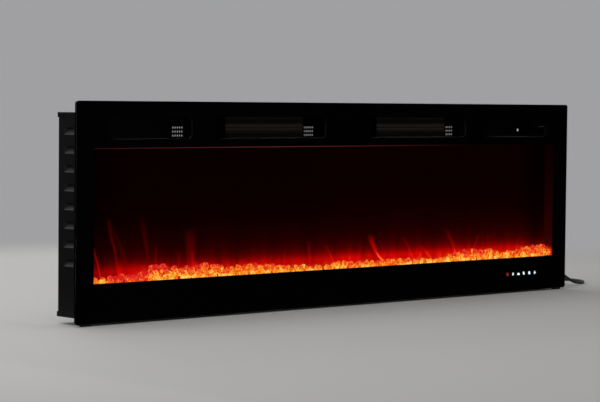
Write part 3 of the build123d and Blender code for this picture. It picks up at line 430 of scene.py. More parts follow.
def crackled_glass():
    material, tree, shader, place = start_material(
        "crackled_ember_glass",
        Base_Color=linear(glass_ember),
        Roughness=0.12,
        Specular_IOR_Level=0.15,
        Emission_Strength=ember_level,
    )
    parts = add_node(tree, "SeparateXYZ", {0: place})
    # Painted glow: brighter at the foot, dimmer at the crest and round the dull middle
    rise = {"From Min": foot_glow_z, "From Max": crest_glow_z, "To Min": foot_glow_level, "To Max": crest_glow_level}
    climb = add_node(tree, "MapRange", {"Value": parts.outputs["Z"], **rise})
    away = add_node(tree, "Math", {0: parts.outputs["X"], 1: dull_middle}, operation="SUBTRACT")
    away = add_node(tree, "Math", {0: away.outputs[0]}, operation="ABSOLUTE")
    zone = {"From Min": dull_core * dull_reach, "From Max": dull_reach, "To Min": dull_glow, "To Max": 0.0}
    dull = add_node(tree, "MapRange", {"Value": away.outputs[0], **zone})
    own = add_node(tree, "Attribute", attribute_name="nugget_glow").outputs["Fac"]
    # Painted shade and light from facet to facet, and painted highlights on the facet edges and along the
    # cracks
    facing = add_node(tree, "NewGeometry").outputs["True Normal"]
    facet = add_node(tree, "TexWhiteNoise", {"Vector": facing}).outputs["Value"]
    facet = add_node(tree, "MapRange", {"Value": facet, "To Min": -facet_shading, "To Max": facet_shading})
    edge = add_node(tree, "Wireframe", {"Size": facet_edge}).outputs["Fac"]
    cells = add_node(
        tree, "TexVoronoi", {"Vector": place, "Scale": 1 / crack_spacing}, feature="DISTANCE_TO_EDGE"
    )
    split = {"From Max": crack_width, "To Min": crack_highlight, "To Max": between_cracks_glow}
    crack = add_node(tree, "MapRange", {"Value": cells.outputs["Distance"], **split})
    total = add_node(tree, "Math", {0: edge, 1: edge_highlight, 2: own}, operation="MULTIPLY_ADD")
    for share in (climb, dull, facet, crack):
        total = add_node(tree, "Math", {0: total.outputs[0], 1: share.outputs[0]}, operation="ADD")
    ramp = add_node(tree, "ValToRGB", {"Fac": total.outputs[0]})
    stops = ramp.color_ramp.elements
    for number, (heat, colour) in enumerate(ember_colours):
        inner = 0 < number < len(ember_colours) - 1
        stop = stops.new(heat) if inner else stops[-1 if number else 0]
        stop.color = linear(colour)
    tree.links.new(ramp.outputs["Color"], shader.inputs["Emission Color"])
    return material


bed = make_piece(crystal_bed(), "crystal_bed", crackled_glass())
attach(bed, "housing")
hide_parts("ember_crystals")

# Flame screen: a sheet of smoked acrylic with a fine etched back that catches the thrown light.
# The thrown light is painted on it as a red glow that dies away upwards, with a few thin tongues,
# and a painted glow of leaking light runs along its top edge as a thin red line.
screen_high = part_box("flame_screen")[1]
smoke_tint = "#0a0505"
flame_red = "#ff0603"
flame_orange = "#ff5a1e"
glow_base = 118 * MM
glow_bright, glow_bright_reach = 0.168, 7.4 * MM
glow_faint, glow_faint_reach = 0.059, 28 * MM
glow_least = 0.0030
glow_most = 0.57
glow_bend = 0.6
# How the glow changes along the width: from where, to where, and its share at each
glow_shares = (
    (-0.715, -0.590, 0.45, 0.95),
    (-0.090, 0.020, 1.00, 1.32),
    (0.590, 0.690, 1.00, 0.35),
)
warm_from, warm_full = 0.85, 1.6
streak_width = 22.0 * MM
streak_stretch = 0.16
streak_noise, streak_levels = (0.3, 0.7), (0.6, 1.4)
edge_light_band = 6.2 * MM
edge_light_width = 2.0 * MM
edge_light_middle = -200 * MM
edge_light_reach = 640 * MM
edge_light_level = 0.16
edge_light_pink = "#ff6f6f"
wander_spacing = 30.0 * MM
wander = 4.0 * MM
tongue_foot = 92 * MM
tongue_spread = (0.6, 1.4)
# Each tongue: where it stands, where its tip is, how high it reaches, how far it bows to the right,
# its width and its strength
tongues = (
    (-0.673, -0.694, 0.160, 0.000, 0.0032, 0.75),
    (-0.625, -0.658, 0.222, 0.000, 0.0060, 0.20),
    (-0.596, -0.656, 0.215, 0.004, 0.0085, 0.07),
    (-0.624, -0.628, 0.132, 0.000, 0.0160, 0.30),
    (-0.594, -0.594, 0.126, 0.000, 0.0120, 0.30),
    (-0.564, -0.564, 0.124, 0.000, 0.0120, 0.28),
    (-0.540, -0.569, 0.222, 0.000, 0.0090, 0.10),
    (-0.527, -0.527, 0.162, 0.000, 0.0045, 0.20),
    (-0.467, -0.467, 0.144, 0.000, 0.0080, 0.30),
    (-0.432, -0.436, 0.192, 0.000, 0.0180, 0.19),
    (-0.427, -0.427, 0.145, 0.000, 0.0070, 0.46),
    (-0.343, -0.343, 0.175, 0.000, 0.0060, 0.06),
    (-0.201, -0.201, 0.136, 0.000, 0.0080, 0.16),
    (-0.160, -0.163, 0.136, 0.000, 0.0050, 0.20),
    (-0.085, -0.089, 0.154, 0.000, 0.0075, 0.30),
    (-0.004, -0.039, 0.142, 0.000, 0.0060, 0.50),
    (0.040, 0.041, 0.142, 0.000, 0.0060, 0.14),
    (0.073, 0.076, 0.144, 0.000, 0.0080, 0.14),
    (0.102, 0.102, 0.126, 0.000, 0.0040, 0.30),
    (0.150, 0.105, 0.158, -0.008, 0.0105, 1.15),
    (0.254, 0.210, 0.152, 0.000, 0.0060, 0.36),
    (0.311, 0.268, 0.130, 0.000, 0.0060, 0.45),
    (0.398, 0.360, 0.163, 0.002, 0.0095, 0.40),
    (0.444, 0.479, 0.152, 0.000, 0.0060, 0.34),
    (0.512, 0.505, 0.148, 0.000, 0.0060, 0.18),
    (0.552, 0.564, 0.134, 0.000, 0.0060, 0.18),
    (0.606, 0.626, 0.142, 0.000, 0.0060, 0.16),
)


def smoked_acrylic():
    material, tree, shader, place = start_material(
        "smoked_acrylic", Base_Color=linear(smoke_tint), Roughness=0.14, Specular_IOR_Level=0.5
    )
    parts = add_node(tree, "SeparateXYZ", {0: place})
    across = parts.outputs["X"]
    height = parts.outputs["Z"]

    # Painted glow of the thrown light, dying away upwards
    near = fading(tree, height, glow_base, glow_bright, glow_bright_reach)
    far = fading(tree, height, glow_base, glow_faint, glow_faint_reach)
    total = add_node(tree, "Math", {0: near, 1: far}, operation="ADD").outputs[0]
    most = {0: total, 1: glow_most, 2: glow_bend}
    total = add_node(tree, "Math", most, operation="SMOOTH_MIN").outputs[0]
    stretched = add_node(tree, "Mapping", {"Vector": place, "Scale": (1.0, 1.0, streak_stretch)})
    streaks = add_node(
        tree, "TexNoise", {"Vector": stretched.outputs[0], "Scale": 1 / streak_width, "Detail": 3.0}
    )
    contrast = {"From Min": streak_noise[0], "From Max": streak_noise[1]}
    contrast.update({"To Min": streak_levels[0], "To Max": streak_levels[1]})
    sway = add_node(tree, "MapRange", {"Value": streaks.outputs[0], **contrast}).outputs[0]
    total = add_node(tree, "Math", {0: total, 1: sway, 2: glow_least}, operation="MULTIPLY_ADD").outputs[0]
    for start, end, before, after in glow_shares:
        change = {"Value": across, "From Min": start, "From Max": end, "To Min": before, "To Max": after}
        share = add_node(tree, "MapRange", change, interpolation_type="SMOOTHSTEP").outputs[0]
        total = add_node(tree, "Math", {0: total, 1: share}, operation="MULTIPLY").outputs[0]
    drift = add_node(tree, "TexNoise", {"Vector": place, "Scale": 1 / wander_spacing, "Detail": 2.0})
    drift = add_node(tree, "MapRange", {"Value": drift.outputs[0], "To Min": -wander, "To Max": wander})
    drifted = add_node(tree, "Math", {0: across, 1: drift.outputs[0]}, operation="ADD").outputs[0]
    for foot_x, tip_x, tip_z, bow, width, strength in tongues:
        rise = {"Value": height, "From Min": tongue_foot, "From Max": tip_z}
        spine = add_node(tree, "MapRange", {**rise, "To Min": foot_x, "To Max": tip_x})
        left = add_node(tree, "MapRange", {**rise, "To Min": 1.0, "To Max": 0.0})
        off = add_node(tree, "Math", {0: drifted, 1: spine.outputs[0]}, operation="SUBTRACT").outputs[0]
        if bow:
            # Climbed times left, times four, is one halfway up and nothing at both ends
            climbed = add_node(tree, "MapRange", {**rise, "To Min": 0.0, "To Max": -4 * bow})
            off = add_node(
                tree, "Math", {0: climbed.outputs[0], 1: left.outputs[0], 2: off}, operation="MULTIPLY_ADD"
            ).outputs[0]
        off = add_node(tree, "Math", {0: off}, operation="ABSOLUTE")
        thin, wide = [share * width for share in tongue_spread]
        spread = add_node(tree, "MapRange", {**rise, "To Min": thin, "To Max": wide})
        body = add_node(
            tree,
            "MapRange",
            {"Value": off.outputs[0], "From Max": spread.outputs[0], "To Min": 1.0, "To Max": 0.0},
            interpolation_type="SMOOTHSTEP",
        )
        lit = add_node(tree, "Math", {0: body.outputs[0], 1: left.outputs[0]}, operation="MULTIPLY")
        shine = {0: lit.outputs[0], 1: strength, 2: total}
        total = add_node(tree, "Math", shine, operation="MULTIPLY_ADD").outputs[0]
    # Painted glow of light leaking along the top edge
    edge_z = screen_high.z - edge_light_band
    from_edge = add_node(tree, "Math", {0: height, 1: edge_z, 2: edge_light_width / 2}, operation="COMPARE")
    from_middle = add_node(tree, "Math", {0: across, 1: edge_light_middle}, operation="SUBTRACT")
    from_middle = add_node(tree, "Math", {0: from_middle.outputs[0]}, operation="ABSOLUTE")
    dying = {"From Max": edge_light_reach, "To Min": edge_light_level, "To Max": 0.0}
    leak = add_node(tree, "MapRange", {"Value": from_middle.outputs[0], **dying}).outputs[0]
    total = add_node(
        tree, "Math", {0: from_edge.outputs[0], 1: leak, 2: total}, operation="MULTIPLY_ADD"
    ).outputs[0]
    warm = add_node(tree, "MapRange", {"Value": total, "From Min": warm_from, "From Max": warm_full})
    colour = add_node(
        tree, "Mix", {0: warm.outputs[0], 6: linear(flame_red), 7: linear(flame_orange)}, data_type="RGBA"
    )
    colour = add_node(
        tree,
        "Mix",
        {0: from_edge.outputs[0], 6: colour.outputs[2], 7: linear(edge_light_pink)},
        data_type="RGBA",
    )
    tree.links.new(colour.outputs[2], shader.inputs["Emission Color"])
    tree.links.new(total, shader.inputs["Emission Strength"])
    return material


dress(smoked_acrylic(), "flame_screen")

# Petals, light rail and blower drums: cut from rolled aluminium strip, folded and crimped together.
# The rolls leave fine bright lines along the strip, really 0.1 mm apart and drawn coarser to show.
rolled_aluminium = clouded_finish(
    "rolled_aluminium",
    colours=("#8f9194", "#c3c5c7"),
    roughness=(0.28, 0.45),
    size=1.2 * MM,
    lengthwise=0.04,
    relief=0.01 * MM,
    Metallic=1.0,
)[0]
dress(rolled_aluminium, "spindle_petals", "light_rail", "left_blower_rotor", "right_blower_rotor")

# Heating elements: two rows of aluminium fins crimped between three flat bars.
# Heat has dulled them to a matt, warm dark grey. A paler band along the middle bar is a painted highlight,
# and a near-black band along the lower one is painted shade.
middle_bar_highlight = "#756a64"
middle_bar_half = 3.0 * MM
middle_bar_fade = 10.0 * MM
lower_bar_shade = "#080707"
lower_bar_top = 4.0 * MM
lower_bar_fade = 5.5 * MM
element_low, element_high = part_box("left_heating_element")


def heated_fins():
    material, tree, shader, place, dulled = clouded_finish(
        "heat_dulled_aluminium",
        colours=("#2c2827", "#494340"),
        roughness=(0.5, 0.65),
        size=7.0 * MM,
        detail=3.0,
        Metallic=0.45,
    )
    height = add_node(tree, "SeparateXYZ", {0: place}).outputs["Z"]
    # Painted highlight along the middle bar
    middle = (element_low.z + element_high.z) / 2
    away = add_node(tree, "Math", {0: height, 1: middle}, operation="SUBTRACT")
    away = add_node(tree, "Math", {0: away.outputs[0]}, operation="ABSOLUTE")
    band = {"From Min": middle_bar_half, "From Max": middle_bar_fade, "To Min": 1.0, "To Max": 0.0}
    pale = add_node(tree, "MapRange", {"Value": away.outputs[0], **band}, interpolation_type="SMOOTHSTEP")
    # Painted shade along the lower bar
    up = add_node(tree, "Math", {0: height, 1: element_low.z}, operation="SUBTRACT")
    foot = {"From Min": lower_bar_top, "From Max": lower_bar_fade, "To Min": 1.0, "To Max": 0.0}
    lower_shade = add_node(tree, "MapRange", {"Value": up.outputs[0], **foot})
    for mark, colour in ((pale, middle_bar_highlight), (lower_shade, lower_bar_shade)):
        tint = add_node(tree, "Mix", {0: mark.outputs[0], 6: dulled, 7: linear(colour)}, data_type="RGBA")
        dulled = tint.outputs[2]
    tree.links.new(dulled, shader.inputs["Base Color"])
    return material


dress(heated_fins(), "left_heating_element", "right_heating_element")

# Spindle and gear motor shaft: centreless-ground steel rod, cut to length and pushed into the coupling.
# It is bright, with the faint rings that the wheel leaves, drawn coarser than they are so as to show.
ground_dark = "#77797c"
ground_light = "#a6a8ab"
grinding_ring = 1.579 * MM
# How far apart a wave texture's bands are at a scale of one
wave_band = math.tau / 20
ground_roughness = (0.2, 0.34)


def ground_steel():
    material, tree, shader, place = start_material("ground_steel", Metallic=1.0)
    turns = {"Vector": place, "Scale": wave_band / grinding_ring, "Distortion": 1.5, "Detail": 2.0}
    rings = add_node(tree, "TexWave", turns, bands_direction="X")
    work_surface(tree, shader, rings.outputs["Fac"], (ground_dark, ground_light), ground_roughness)
    return material


dress(ground_steel(), "spindle_shaft", "gear_motor_shaft")

# Ducts, brackets and thermal cut-outs: folded galvanised steel. Hot zinc freezes in large flakes,
# each with its own grey. The ducts, deep inside next to the heaters, get a near-black zinc as painted
# shade.
zinc_dark = "#595c60"
zinc_light = "#85888c"
duct_shade_dark = "#0d0c0c"
duct_shade_light = "#161515"
zinc_flake = 9.0 * MM
zinc_roughness = (0.35, 0.55)


def galvanised_steel(name, *greys):
    material, tree, shader, place = start_material(name, Metallic=0.9)
    flakes = add_node(tree, "TexVoronoi", {"Vector": place, "Scale": 1 / zinc_flake})
    shade = add_node(tree, "SeparateXYZ", {0: flakes.outputs["Color"]})
    work_surface(tree, shader, shade.outputs["X"], greys, zinc_roughness)
    return material


zinc = galvanised_steel("galvanised_steel", zinc_dark, zinc_light)
# Near-black zinc for the ducts: painted shade
shade_darkened_zinc = galvanised_steel("shade_darkened_galvanised_steel", duct_shade_dark, duct_shade_light)
dress(shade_darkened_zinc, "left_heater_duct", "right_heater_duct")
dress(zinc, "gear_motor_bracket", "spindle_end_bracket", "left_thermal_cutout", "right_thermal_cutout")

# Motors: deep-drawn steel cans, pressed shut and screwed to the brackets and the ducts' ends.
# Their bright zinc plating has been passivated and has yellowed in soft clouds.
zinc_plating = clouded_finish(
    "zinc_plated_steel",
    colours=("#a3a19a", "#8c8468"),
    roughness=(0.25, 0.4),
    size=12.0 * MM,
    detail=3.0,
    Metallic=1.0,
)[0]
dress(zinc_plating, "gear_motor", "left_blower_motor", "right_blower_motor")

# Bushes, board posts and mains terminals: injection-moulded from natural nylon and snapped into holes.
# Nylon is creamy and a little translucent, with a waxy, faintly clouded surface.
natural_nylon = clouded_finish(
    "natural_nylon",
    colours=("#e4dfd0", "#cfc8b4"),
    roughness=(0.35, 0.5),
    size=5.0 * MM,
    relief=0.01 * MM,
    Subsurface_Weight=0.1,
)[0]
dress(natural_nylon, "spindle_bush", "left_blower_bush", "right_blower_bush")
dress(natural_nylon, "board_posts", "terminal_block")

# Power board: a green glass-fibre circuit board, pressed on to the posts at the right end.
# Its transformer, relays and capacitor are soldered on and cased in black plastic.
part_black = "#15161a"
board_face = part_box("power_board")[0].z + strip_sheet


def populated_board():
    material, tree, shader, place, green = circuit_board("populated_board")
    parts = add_node(tree, "SeparateXYZ", {0: place})
    above = add_node(tree, "Math", {0: parts.outputs["Z"], 1: board_face}, operation="GREATER_THAN")
    tint = add_node(tree, "Mix", {0: above.outputs[0], 6: green, 7: linear(part_black)}, data_type="RGBA")
    tree.links.new(tint.outputs[2], shader.inputs["Base Color"])
    return material


dress(populated_board(), "power_board")

# Touch holder and plug: injection-moulded black ABS, satin, with a fine spark-eroded grain.
# The grain is really 0.1 mm, and is drawn at about 1 mm so that it shows.
moulded_abs = clouded_finish(
    "moulded_black_abs",
    colours=("#101011", "#1b1b1d"),
    roughness=(0.4, 0.55),
    size=1.0 * MM,
    relief=0.02 * MM,
)[0]
dress(moulded_abs, "touch_holder", "plug_body")

# Icon pads: small discs of opal acrylic in the touch holder, each with a lamp behind it.
# Opal acrylic spreads the light evenly but for fine specks: one is lit red and the five others white.
pad_red = "#ff5138"
pad_white = "#f4f8ff"
red_glow, white_glow = 0.8, 2.4
pad_speck = 0.6 * MM
speck_levels = (0.85, 1.1)


def light_pad(name, colour, glow):
    material, tree, shader, place = start_material(
        name, Base_Color=linear(colour), Emission_Color=linear(colour), Roughness=0.5
    )
    specks = add_node(tree, "TexNoise", {"Vector": place, "Scale": 1 / pad_speck})
    dim, bright = [share * glow for share in speck_levels]
    level = add_node(tree, "MapRange", {"Value": specks.outputs[0], "To Min": dim, "To Max": bright})
    tree.links.new(level.outputs[0], shader.inputs["Emission Strength"])
    return material


red_light = light_pad("red_opal_acrylic", pad_red, red_glow)
white_light = light_pad("white_opal_acrylic", pad_white, white_glow)
dress(red_light, "power_icon_pad")
dress(white_light, "icon_pads")

# Front glass: one sheet of clear toughened float glass, 5 mm thick, with slots cut and edges ground.
# Float glass is all but flawless: only a faint green body and a long, slow ripple from the roller.
glass_tint = "#eef4f1"
glass_ripple = 260.0 * MM
glass_relief = 0.02 * MM
glass_low, glass_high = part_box("front_glass")


def float_glass():
    material, tree, shader, place = start_material(
        "toughened_float_glass",
        Base_Color=linear(glass_tint),
        Transmission_Weight=1.0,
        Roughness=0.0,
        IOR=1.5,
        Specular_IOR_Level=0.35,
    )
    ripple = add_node(tree, "TexNoise", {"Vector": place, "Scale": 1 / glass_ripple, "Detail": 0.0})
    bump = add_node(tree, "Bump", {"Height": ripple.outputs[0], "Distance": glass_relief})
    tree.links.new(bump.outputs["Normal"], shader.inputs["Normal"])
    return material


dress(float_glass(), "front_glass")

# Border print: black ceramic ink screened on the back of the glass and fired in.
# It leaves the window and the four slots clear, hides the frame behind and runs round the edges.
# Fired ink is a dead black, glossy only through the glass. Its fine specks are drawn coarser to show.
ink_gap = 0.08 * MM
ink_inset = 0.06 * MM
glass_arris = 0.7 * MM
ink_corner = 6.0 * MM
slot_corner = 10.0 * MM
slot_clearance = 3.5 * MM
corner_steps = 6
slot_openings = [opening["box_m"] for opening in frame["record"]["physics"]["openings"]]
window_low = Vector((-0.714, 0, 0.086))
window_high = Vector((0.714, 0, 0.364))


def outline(bm, low, high, corner, y):
    """A closed ring of edges: an upright rectangle with rounded corners."""
    steps = corner_steps if corner else 0
    ring = []
    for turn, x, z in ((0, high.x, high.z), (1, low.x, high.z), (2, low.x, low.z), (3, high.x, low.z)):
        inwards_x, inwards_z = (1 if turn in (1, 2) else -1), (1 if turn > 1 else -1)
        middle = Vector((x + corner * inwards_x, y, z + corner * inwards_z))
        for step in range(steps + 1):
            angle = math.pi / 2 * (turn + (step / steps if steps else 0.5))
            reach = Vector((math.cos(angle), 0, math.sin(angle))) * corner
            ring.append(bm.verts.new(middle + reach))
    return [bm.edges.new((a, b)) for a, b in zip(ring, ring[1:] + ring[:1])]


def raise_wall(bm, edges, depth):
    """Draws edges out into a wall: backwards, or forwards where the depth is negative."""
    wall = bmesh.ops.extrude_edge_only(bm, edges=edges)["geom"]
    moved = [part for part in wall if isinstance(part, bmesh.types.BMVert)]
    bmesh.ops.translate(bm, verts=moved, vec=(0, depth, 0))


def border_print():
    bm = bmesh.new()
    y = glass_high.y - ink_gap
    inset = Vector((ink_inset, 0, ink_inset))
    rim = outline(bm, glass_low + inset, glass_high - inset, ink_corner - ink_inset, y)
    edges = rim + outline(bm, window_low, window_high, 0.0, y)
    # The record's openings are boxes that stay clear of the slots' edges
    grow = Vector((slot_clearance + ink_inset, 0, slot_clearance + ink_inset))
    for low, high in slot_openings:
        edges += outline(bm, Vector(low) - grow, Vector(high) + grow, slot_corner + ink_inset, y)
    bmesh.ops.triangle_fill(bm, edges=edges, use_beauty=True, use_dissolve=True, normal=(0, -1, 0))
    raise_wall(bm, rim, glass_low.y + glass_arris - y)
    return bm


ceramic_ink = clouded_finish(
    "black_ceramic_ink",
    colours=("#030303", "#060606"),
    roughness=(0.6, 0.75),
    size=2.0 * MM,
    Specular_IOR_Level=0.1,
)[0]
border = make_piece(border_print(), "border_print", ceramic_ink)
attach(border, "housing")

# Lit icons: small pictures scraped out of the print, which the pads shine through.
# The power sign is red; a flame, embers, heat, a clock and a lamp are white.
icon_half = 3.9 * MM
icon_stroke = 0.9 * MM
icon_depth = 0.04 * MM
icon_lift = 0.06 * MM
icon_weld = 0.01 * MM
power_low, power_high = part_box("power_icon_pad")
group_low, group_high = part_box("icon_pads")
pad_radius = (power_high.x - power_low.x) / 2
arc_steps = 14


def arc(start, end, reach, middle=(0.0, 0.0)):
    """Part of a ring, in degrees from the right, in shares of an icon's half size."""
    turns = [math.radians(start + (end - start) * step / arc_steps) for step in range(arc_steps + 1)]
    return [(middle[0] + reach * math.cos(turn), middle[1] + reach * math.sin(turn)) for turn in turns]


def ray(turn, near, far):
    """A short line that points outwards from an icon's middle."""
    return [(near * math.cos(turn), near * math.sin(turn)), (far * math.cos(turn), far * math.sin(turn))]


# The strokes of each sign, in shares of an icon's half size
power_sign = [arc(125, 415, 0.9), [(0.0, 1.05), (0.0, 0.2)]]
flame_sign = [
    [(0.0, 1.1), (0.55, 0.3), (0.65, -0.4), (0.25, -0.9)]
    + [(-0.35, -0.85), (-0.65, -0.3), (-0.3, 0.3), (0.0, 1.1)]
]
ember_sign = [arc(0, 360, 0.3, (across, -0.5)) for across in (-0.75, 0.0, 0.75)]
ember_sign += [arc(0, 360, 0.3, (across, 0.2)) for across in (-0.38, 0.38)]
heat_sign = [
    [(across + 0.2 * math.sin(step * 0.9), -0.9 + step * 0.26) for step in range(8)]
    for across in (-0.6, 0.0, 0.6)
]
clock_sign = [arc(0, 360, 0.95), [(0.0, 0.55), (0.0, 0.0), (0.42, -0.25)]]
lamp_sign = [arc(0, 360, 0.42)] + [ray(math.tau * number / 8, 0.7, 1.05) for number in range(8)]


def lit_icons(name, signs, first_x, pitch, material):
    """Some signs side by side: each stroke is a line of edges that gets a depth and a width."""
    bm = bmesh.new()
    y = glass_high.y - ink_gap - icon_lift
    z = (power_low.z + power_high.z) / 2
    for number, strokes in enumerate(signs):
        middle = Vector((first_x + pitch * number, y, z))
        for stroke in strokes:
            line = [bm.verts.new(middle + icon_half * Vector((across, 0, up))) for across, up in stroke]
            for start, end in zip(line, line[1:]):
                bm.edges.new((start, end))
    bmesh.ops.remove_doubles(bm, verts=bm.verts, dist=icon_weld)
    raise_wall(bm, bm.edges[:], icon_depth)
    bmesh.ops.recalc_face_normals(bm, faces=bm.faces)
    bmesh.ops.solidify(bm, geom=bm.faces[:], thickness=icon_stroke)
    piece = make_piece(bm, name, material)
    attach(piece, "housing")


white_signs = [flame_sign, ember_sign, heat_sign, clock_sign, lamp_sign]
white_pitch = (group_high.x - group_low.x - 2 * pad_radius) / (len(white_signs) - 1)
red_x, white_x = power_low.x + pad_radius, group_low.x + pad_radius
lit_icons("power_icon", [power_sign], red_x, 0.0, red_light)
lit_icons("white_icons", white_signs, white_x, white_pitch, white_light)

# Mains lead: a black PVC lead that leaves the gland, drops to the floor, bends round behind the unit
# and is put away in two layers of turns. PVC is satin, with a slight ripple from the extruder.
cord_diameter = 7.0 * MM
cord_floor = 3.6 * MM
coil_middle = Vector((0.790, 0.112, 0.0))
coil_radius = 48.5 * MM
coil_step = 3.8 * MM
coil_half_turns = 5
coil_rise = 7.7 * MM
half_turn_points = 9
plug_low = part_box("plug_body")[0]
cord_route = [
    (0.773, 0.019, 0.042),
    (0.797, 0.019, 0.042),
    (0.823, 0.0175, 0.032),
    (0.846, 0.015, 0.018),
    (0.871, 0.014, 0.0066),
    (0.899, 0.017, cord_floor),
    (0.927, 0.029, cord_floor),
    (0.947, 0.054, cord_floor),
    (0.955, 0.086, cord_floor),
    (0.949, 0.118, cord_floor),
    (0.930, 0.143, cord_floor),
    (0.902, 0.157, cord_floor),
    (0.867, 0.1625, cord_floor),
    (0.828, 0.1605, cord_floor),
]


def coil_route():
    """Half turns that wind in on the floor, climb in one of them and wind out again on top."""
    winding_in = [coil_radius - coil_step * number for number in range(coil_half_turns)]
    radii = winding_in + [winding_in[-1] - coil_step] + winding_in[::-1]
    place = coil_middle + Vector((0, coil_radius, cord_floor))
    heading = Vector((-1, 0, 0))
    points = []
    for number, radius in enumerate(radii):
        side = Vector((-heading.y, heading.x, 0))
        centre = place + side * radius
        for step in range(half_turn_points):
            angle = math.pi * step / half_turn_points
            lift = coil_rise * step / half_turn_points if number == coil_half_turns else 0.0
            points.append(centre - side * radius * math.cos(angle) + heading * radius * math.sin(angle))
            points[-1].z += lift
        place = centre + side * radius
        if number == coil_half_turns:
            place.z += coil_rise
        heading = -heading
    points.append(place)
    points.append(Vector((plug_low.x, place.y, place.z)))
    return points


def mains_lead():
    curve = bpy.data.curves.new("mains_lead", "CURVE")
    curve.dimensions = "3D"
    route = [Vector(point) for point in cord_route] + coil_route()
    spline = curve.splines.new("NURBS")
    spline.points.add(len(route) - 1)
    for control, point in zip(spline.points, route):
        control.co = (*point, 1.0)
    spline.order_u = 3
    spline.use_endpoint_u = True
    spline.resolution_u = 6
    curve.bevel_depth = cord_diameter / 2
    curve.bevel_resolution = 4
    curve.use_fill_caps = True
    piece = bpy.data.objects.new("mains_lead", curve)
    bpy.context.scene.collection.objects.link(piece)
    return piece


extruded_pvc = clouded_finish(
    "extruded_black_pvc",
    colours=("#0d0d0e", "#19191b"),
    roughness=(0.38, 0.5),
    size=3.0 * MM,
    detail=1.0,
    relief=0.04 * MM,
    Specular_IOR_Level=0.4,
)[0]
lead = mains_lead()
lead.data.materials.append(extruded_pvc)
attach(lead, "housing")
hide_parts("power_cord", "cord_coil")

# Cord tie: a strap of black hook-and-loop tape, 9 mm wide, wrapped once round the turns of the coil.
# It is woven nylon with a napped face: dull, with the grey fuzz of its loops, drawn coarser to show.
tie_width = 9.0 * MM
tie_sheet = 0.9 * MM
tie_round = 4.0 * MM
tie_low = Vector((0.7375, 0, tie_sheet))
tie_high = Vector((0.7607, 0, 0.0153))
tape_black = "#101010"
tape_fuzz = "#262626"
tape_loop = 0.8 * MM
tape_relief = 0.15 * MM
tape_roughness = (0.8, 0.95)


def cord_tie():
    bm = bmesh.new()
    ring = outline(bm, tie_low, tie_high, tie_round, coil_middle.y - tie_width / 2)
    raise_wall(bm, ring, tie_width)
    bmesh.ops.recalc_face_normals(bm, faces=bm.faces)
    bmesh.ops.solidify(bm, geom=bm.faces[:], thickness=-tie_sheet)
    return bm


def loop_tape():
    material, tree, shader, place = start_material("hook_and_loop_tape", Sheen_Weight=0.3)
    loops = add_node(tree, "TexVoronoi", {"Vector": place, "Scale": 1 / tape_loop})
    greys = (tape_black, tape_fuzz)
    work_surface(tree, shader, loops.outputs["Distance"], greys, tape_roughness, tape_relief)
    return material


tie = make_piece(cord_tie(), "cord_tie", loop_tape())
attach(tie, "housing")

# Plug pins: folded and turned from brass, nickel plated and moulded into the plug.
# The plate is warm and bright, with fine scuffs from sockets along the pins, drawn coarser to show.
nickel_plate = clouded_finish(
    "nickel_plated_brass",
    colours=("#a39c8c", "#cfc9bb"),
    roughness=(0.18, 0.35),
    size=0.7 * MM,
    lengthwise=0.06,
    Metallic=1.0,
)[0]
dress(nickel_plate, "plug_pins")

# Studio: a pale round floor that fades into an even grey surround, a wide soft light overhead and
# weaker ones at the left and behind. A black card out of sight keeps the mirror of the glass dark.
floor_pale = "#d6d5d3"
surround_grey = "#a0a0a2"
floor_radius = 2.6
floor_fade_start = 1.5
floor_fade_end = 2.4
dome_level = 0.32


def studio_floor():
    bm = bmesh.new()
    bmesh.ops.create_circle(bm, cap_ends=True, segments=96, radius=floor_radius)
    material, tree, shader, place = start_material(
        "pale_floor", Base_Color=linear(floor_pale), Roughness=0.8, Specular_IOR_Level=0.2
    )
    far = add_node(tree, "VectorMath", {0: place}, operation="LENGTH")
    rim = {"From Min": floor_fade_start, "From Max": floor_fade_end, "To Min": 1.0, "To Max": 0.0}
    rim["Value"] = far.outputs["Value"]
    solid = add_node(tree, "MapRange", rim, interpolation_type="SMOOTHSTEP")
    tree.links.new(solid.outputs[0], shader.inputs["Alpha"])
    floor = make_piece(bm, "studio_floor", material)


def black_card():
    """Only mirrors see it. It lies before the glass and at its left, and stands beyond and behind."""
    bm = bmesh.new()
    lying = [(-1.2, -0.06, 0.002), (8.0, -0.06, 0.002), (8.0, -9.0, 0.002), (-1.2, -9.0, 0.002)]
    lying_left = [(-0.78, -0.06, 0.002), (-0.78, 5.0, 0.002), (-6.0, 5.0, 0.002), (-6.0, -0.06, 0.002)]
    standing = [(1.0, -8.5, 0.0), (7.8, -2.5, 0.0), (7.8, -2.5, 3.0), (1.0, -8.5, 3.0)]
    back_left = [(-5.2, 1.6, 0.0), (-1.4, 5.0, 0.0), (-1.4, 5.0, 1.2), (-5.2, 1.6, 1.2)]
    for corners in (lying, lying_left, standing, back_left):
        bm.faces.new([bm.verts.new(corner) for corner in corners])
    material = start_material(
        "black_card", Base_Color=(0.0, 0.0, 0.0, 1.0), Roughness=1.0, Specular_IOR_Level=0.0
    )[0]
    card = make_piece(bm, "black_card", material)
    card.visible_camera = False
    card.visible_diffuse = False
    card.visible_shadow = False


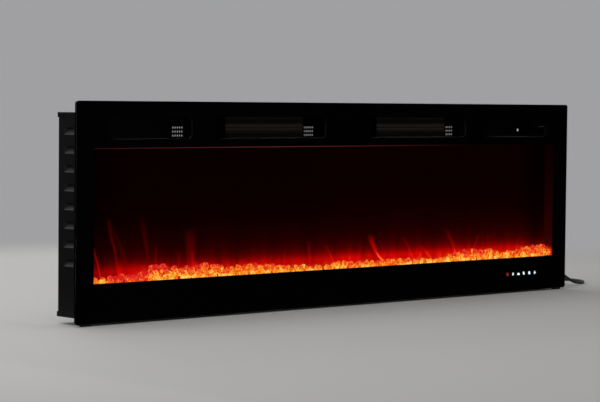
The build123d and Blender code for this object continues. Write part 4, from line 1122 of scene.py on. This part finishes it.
def soft_light(name, place, aim, size, watts):
    lamp = bpy.data.lights.new(name, "AREA")
    lamp.shape = "DISK"
    lamp.size = size
    lamp.energy = watts
    light = bpy.data.objects.new(name, lamp)
    light.location = place
    light.rotation_euler = (Vector(aim) - Vector(place)).to_track_quat("-Z", "Y").to_euler()
    light.visible_camera = False
    bpy.context.scene.collection.objects.link(light)


def surround():
    """An even grey for eyes, mirrors and glass, and a weaker white dome that lights the object."""
    world = bpy.data.worlds.new("surround")
    world.use_nodes = True
    tree = world.node_tree
    background = tree.nodes["Background"]
    rays = add_node(tree, "LightPath").outputs
    seen = add_node(tree, "Math", {0: rays["Is Camera Ray"], 1: rays["Is Glossy Ray"]}, operation="ADD")
    through = {0: seen.outputs[0], 1: rays["Is Transmission Ray"]}
    seen = add_node(tree, "Math", through, operation="ADD", use_clamp=True)
    dome = (dome_level, dome_level, dome_level, 1.0)
    tint = add_node(tree, "Mix", {0: seen.outputs[0], 6: dome, 7: linear(surround_grey)}, data_type="RGBA")
    tree.links.new(tint.outputs[2], background.inputs["Color"])
    bpy.context.scene.world = world


studio_floor()
black_card()
soft_light("top_light", place=(-0.9, 0.3, 2.4), aim=(-0.1, 0.0, 0.2), size=2.4, watts=20.0)
soft_light("side_light", place=(-1.9, -0.7, 2.2), aim=(-0.7, 0.0, 0.25), size=1.2, watts=6.0)
soft_light("rear_light", place=(0.5, 2.6, 1.7), aim=(0.0, 0.05, 0.2), size=1.6, watts=14.0)
surround()

# Camera: it stands to the left of the front, about level with the top of the glass, with a long lens.
# Its place, heading, tilt and roll were fitted to the straight edges of the front and of the housing.
camera_place = Vector((-3.3765, -3.5497, 0.4646))
camera_heading = math.radians(-42.691)
camera_tilt = math.radians(90 - 2.667)
camera_roll = math.radians(0.547)
lens_length = 129.0
film_width = 36.0
eye = bpy.data.cameras.new("camera")
eye.lens = lens_length
eye.sensor_width = film_width
eye.sensor_fit = "HORIZONTAL"
camera = bpy.data.objects.new("camera", eye)
camera.matrix_world = (
    Matrix.Translation(camera_place)
    @ Matrix.Rotation(camera_heading, 4, "Z")
    @ Matrix.Rotation(camera_tilt, 4, "X")
    @ Matrix.Rotation(camera_roll, 4, "Z")
)
bpy.context.scene.collection.objects.link(camera)
bpy.context.scene.camera = camera
bpy.context.scene.view_settings.view_transform = "Standard"
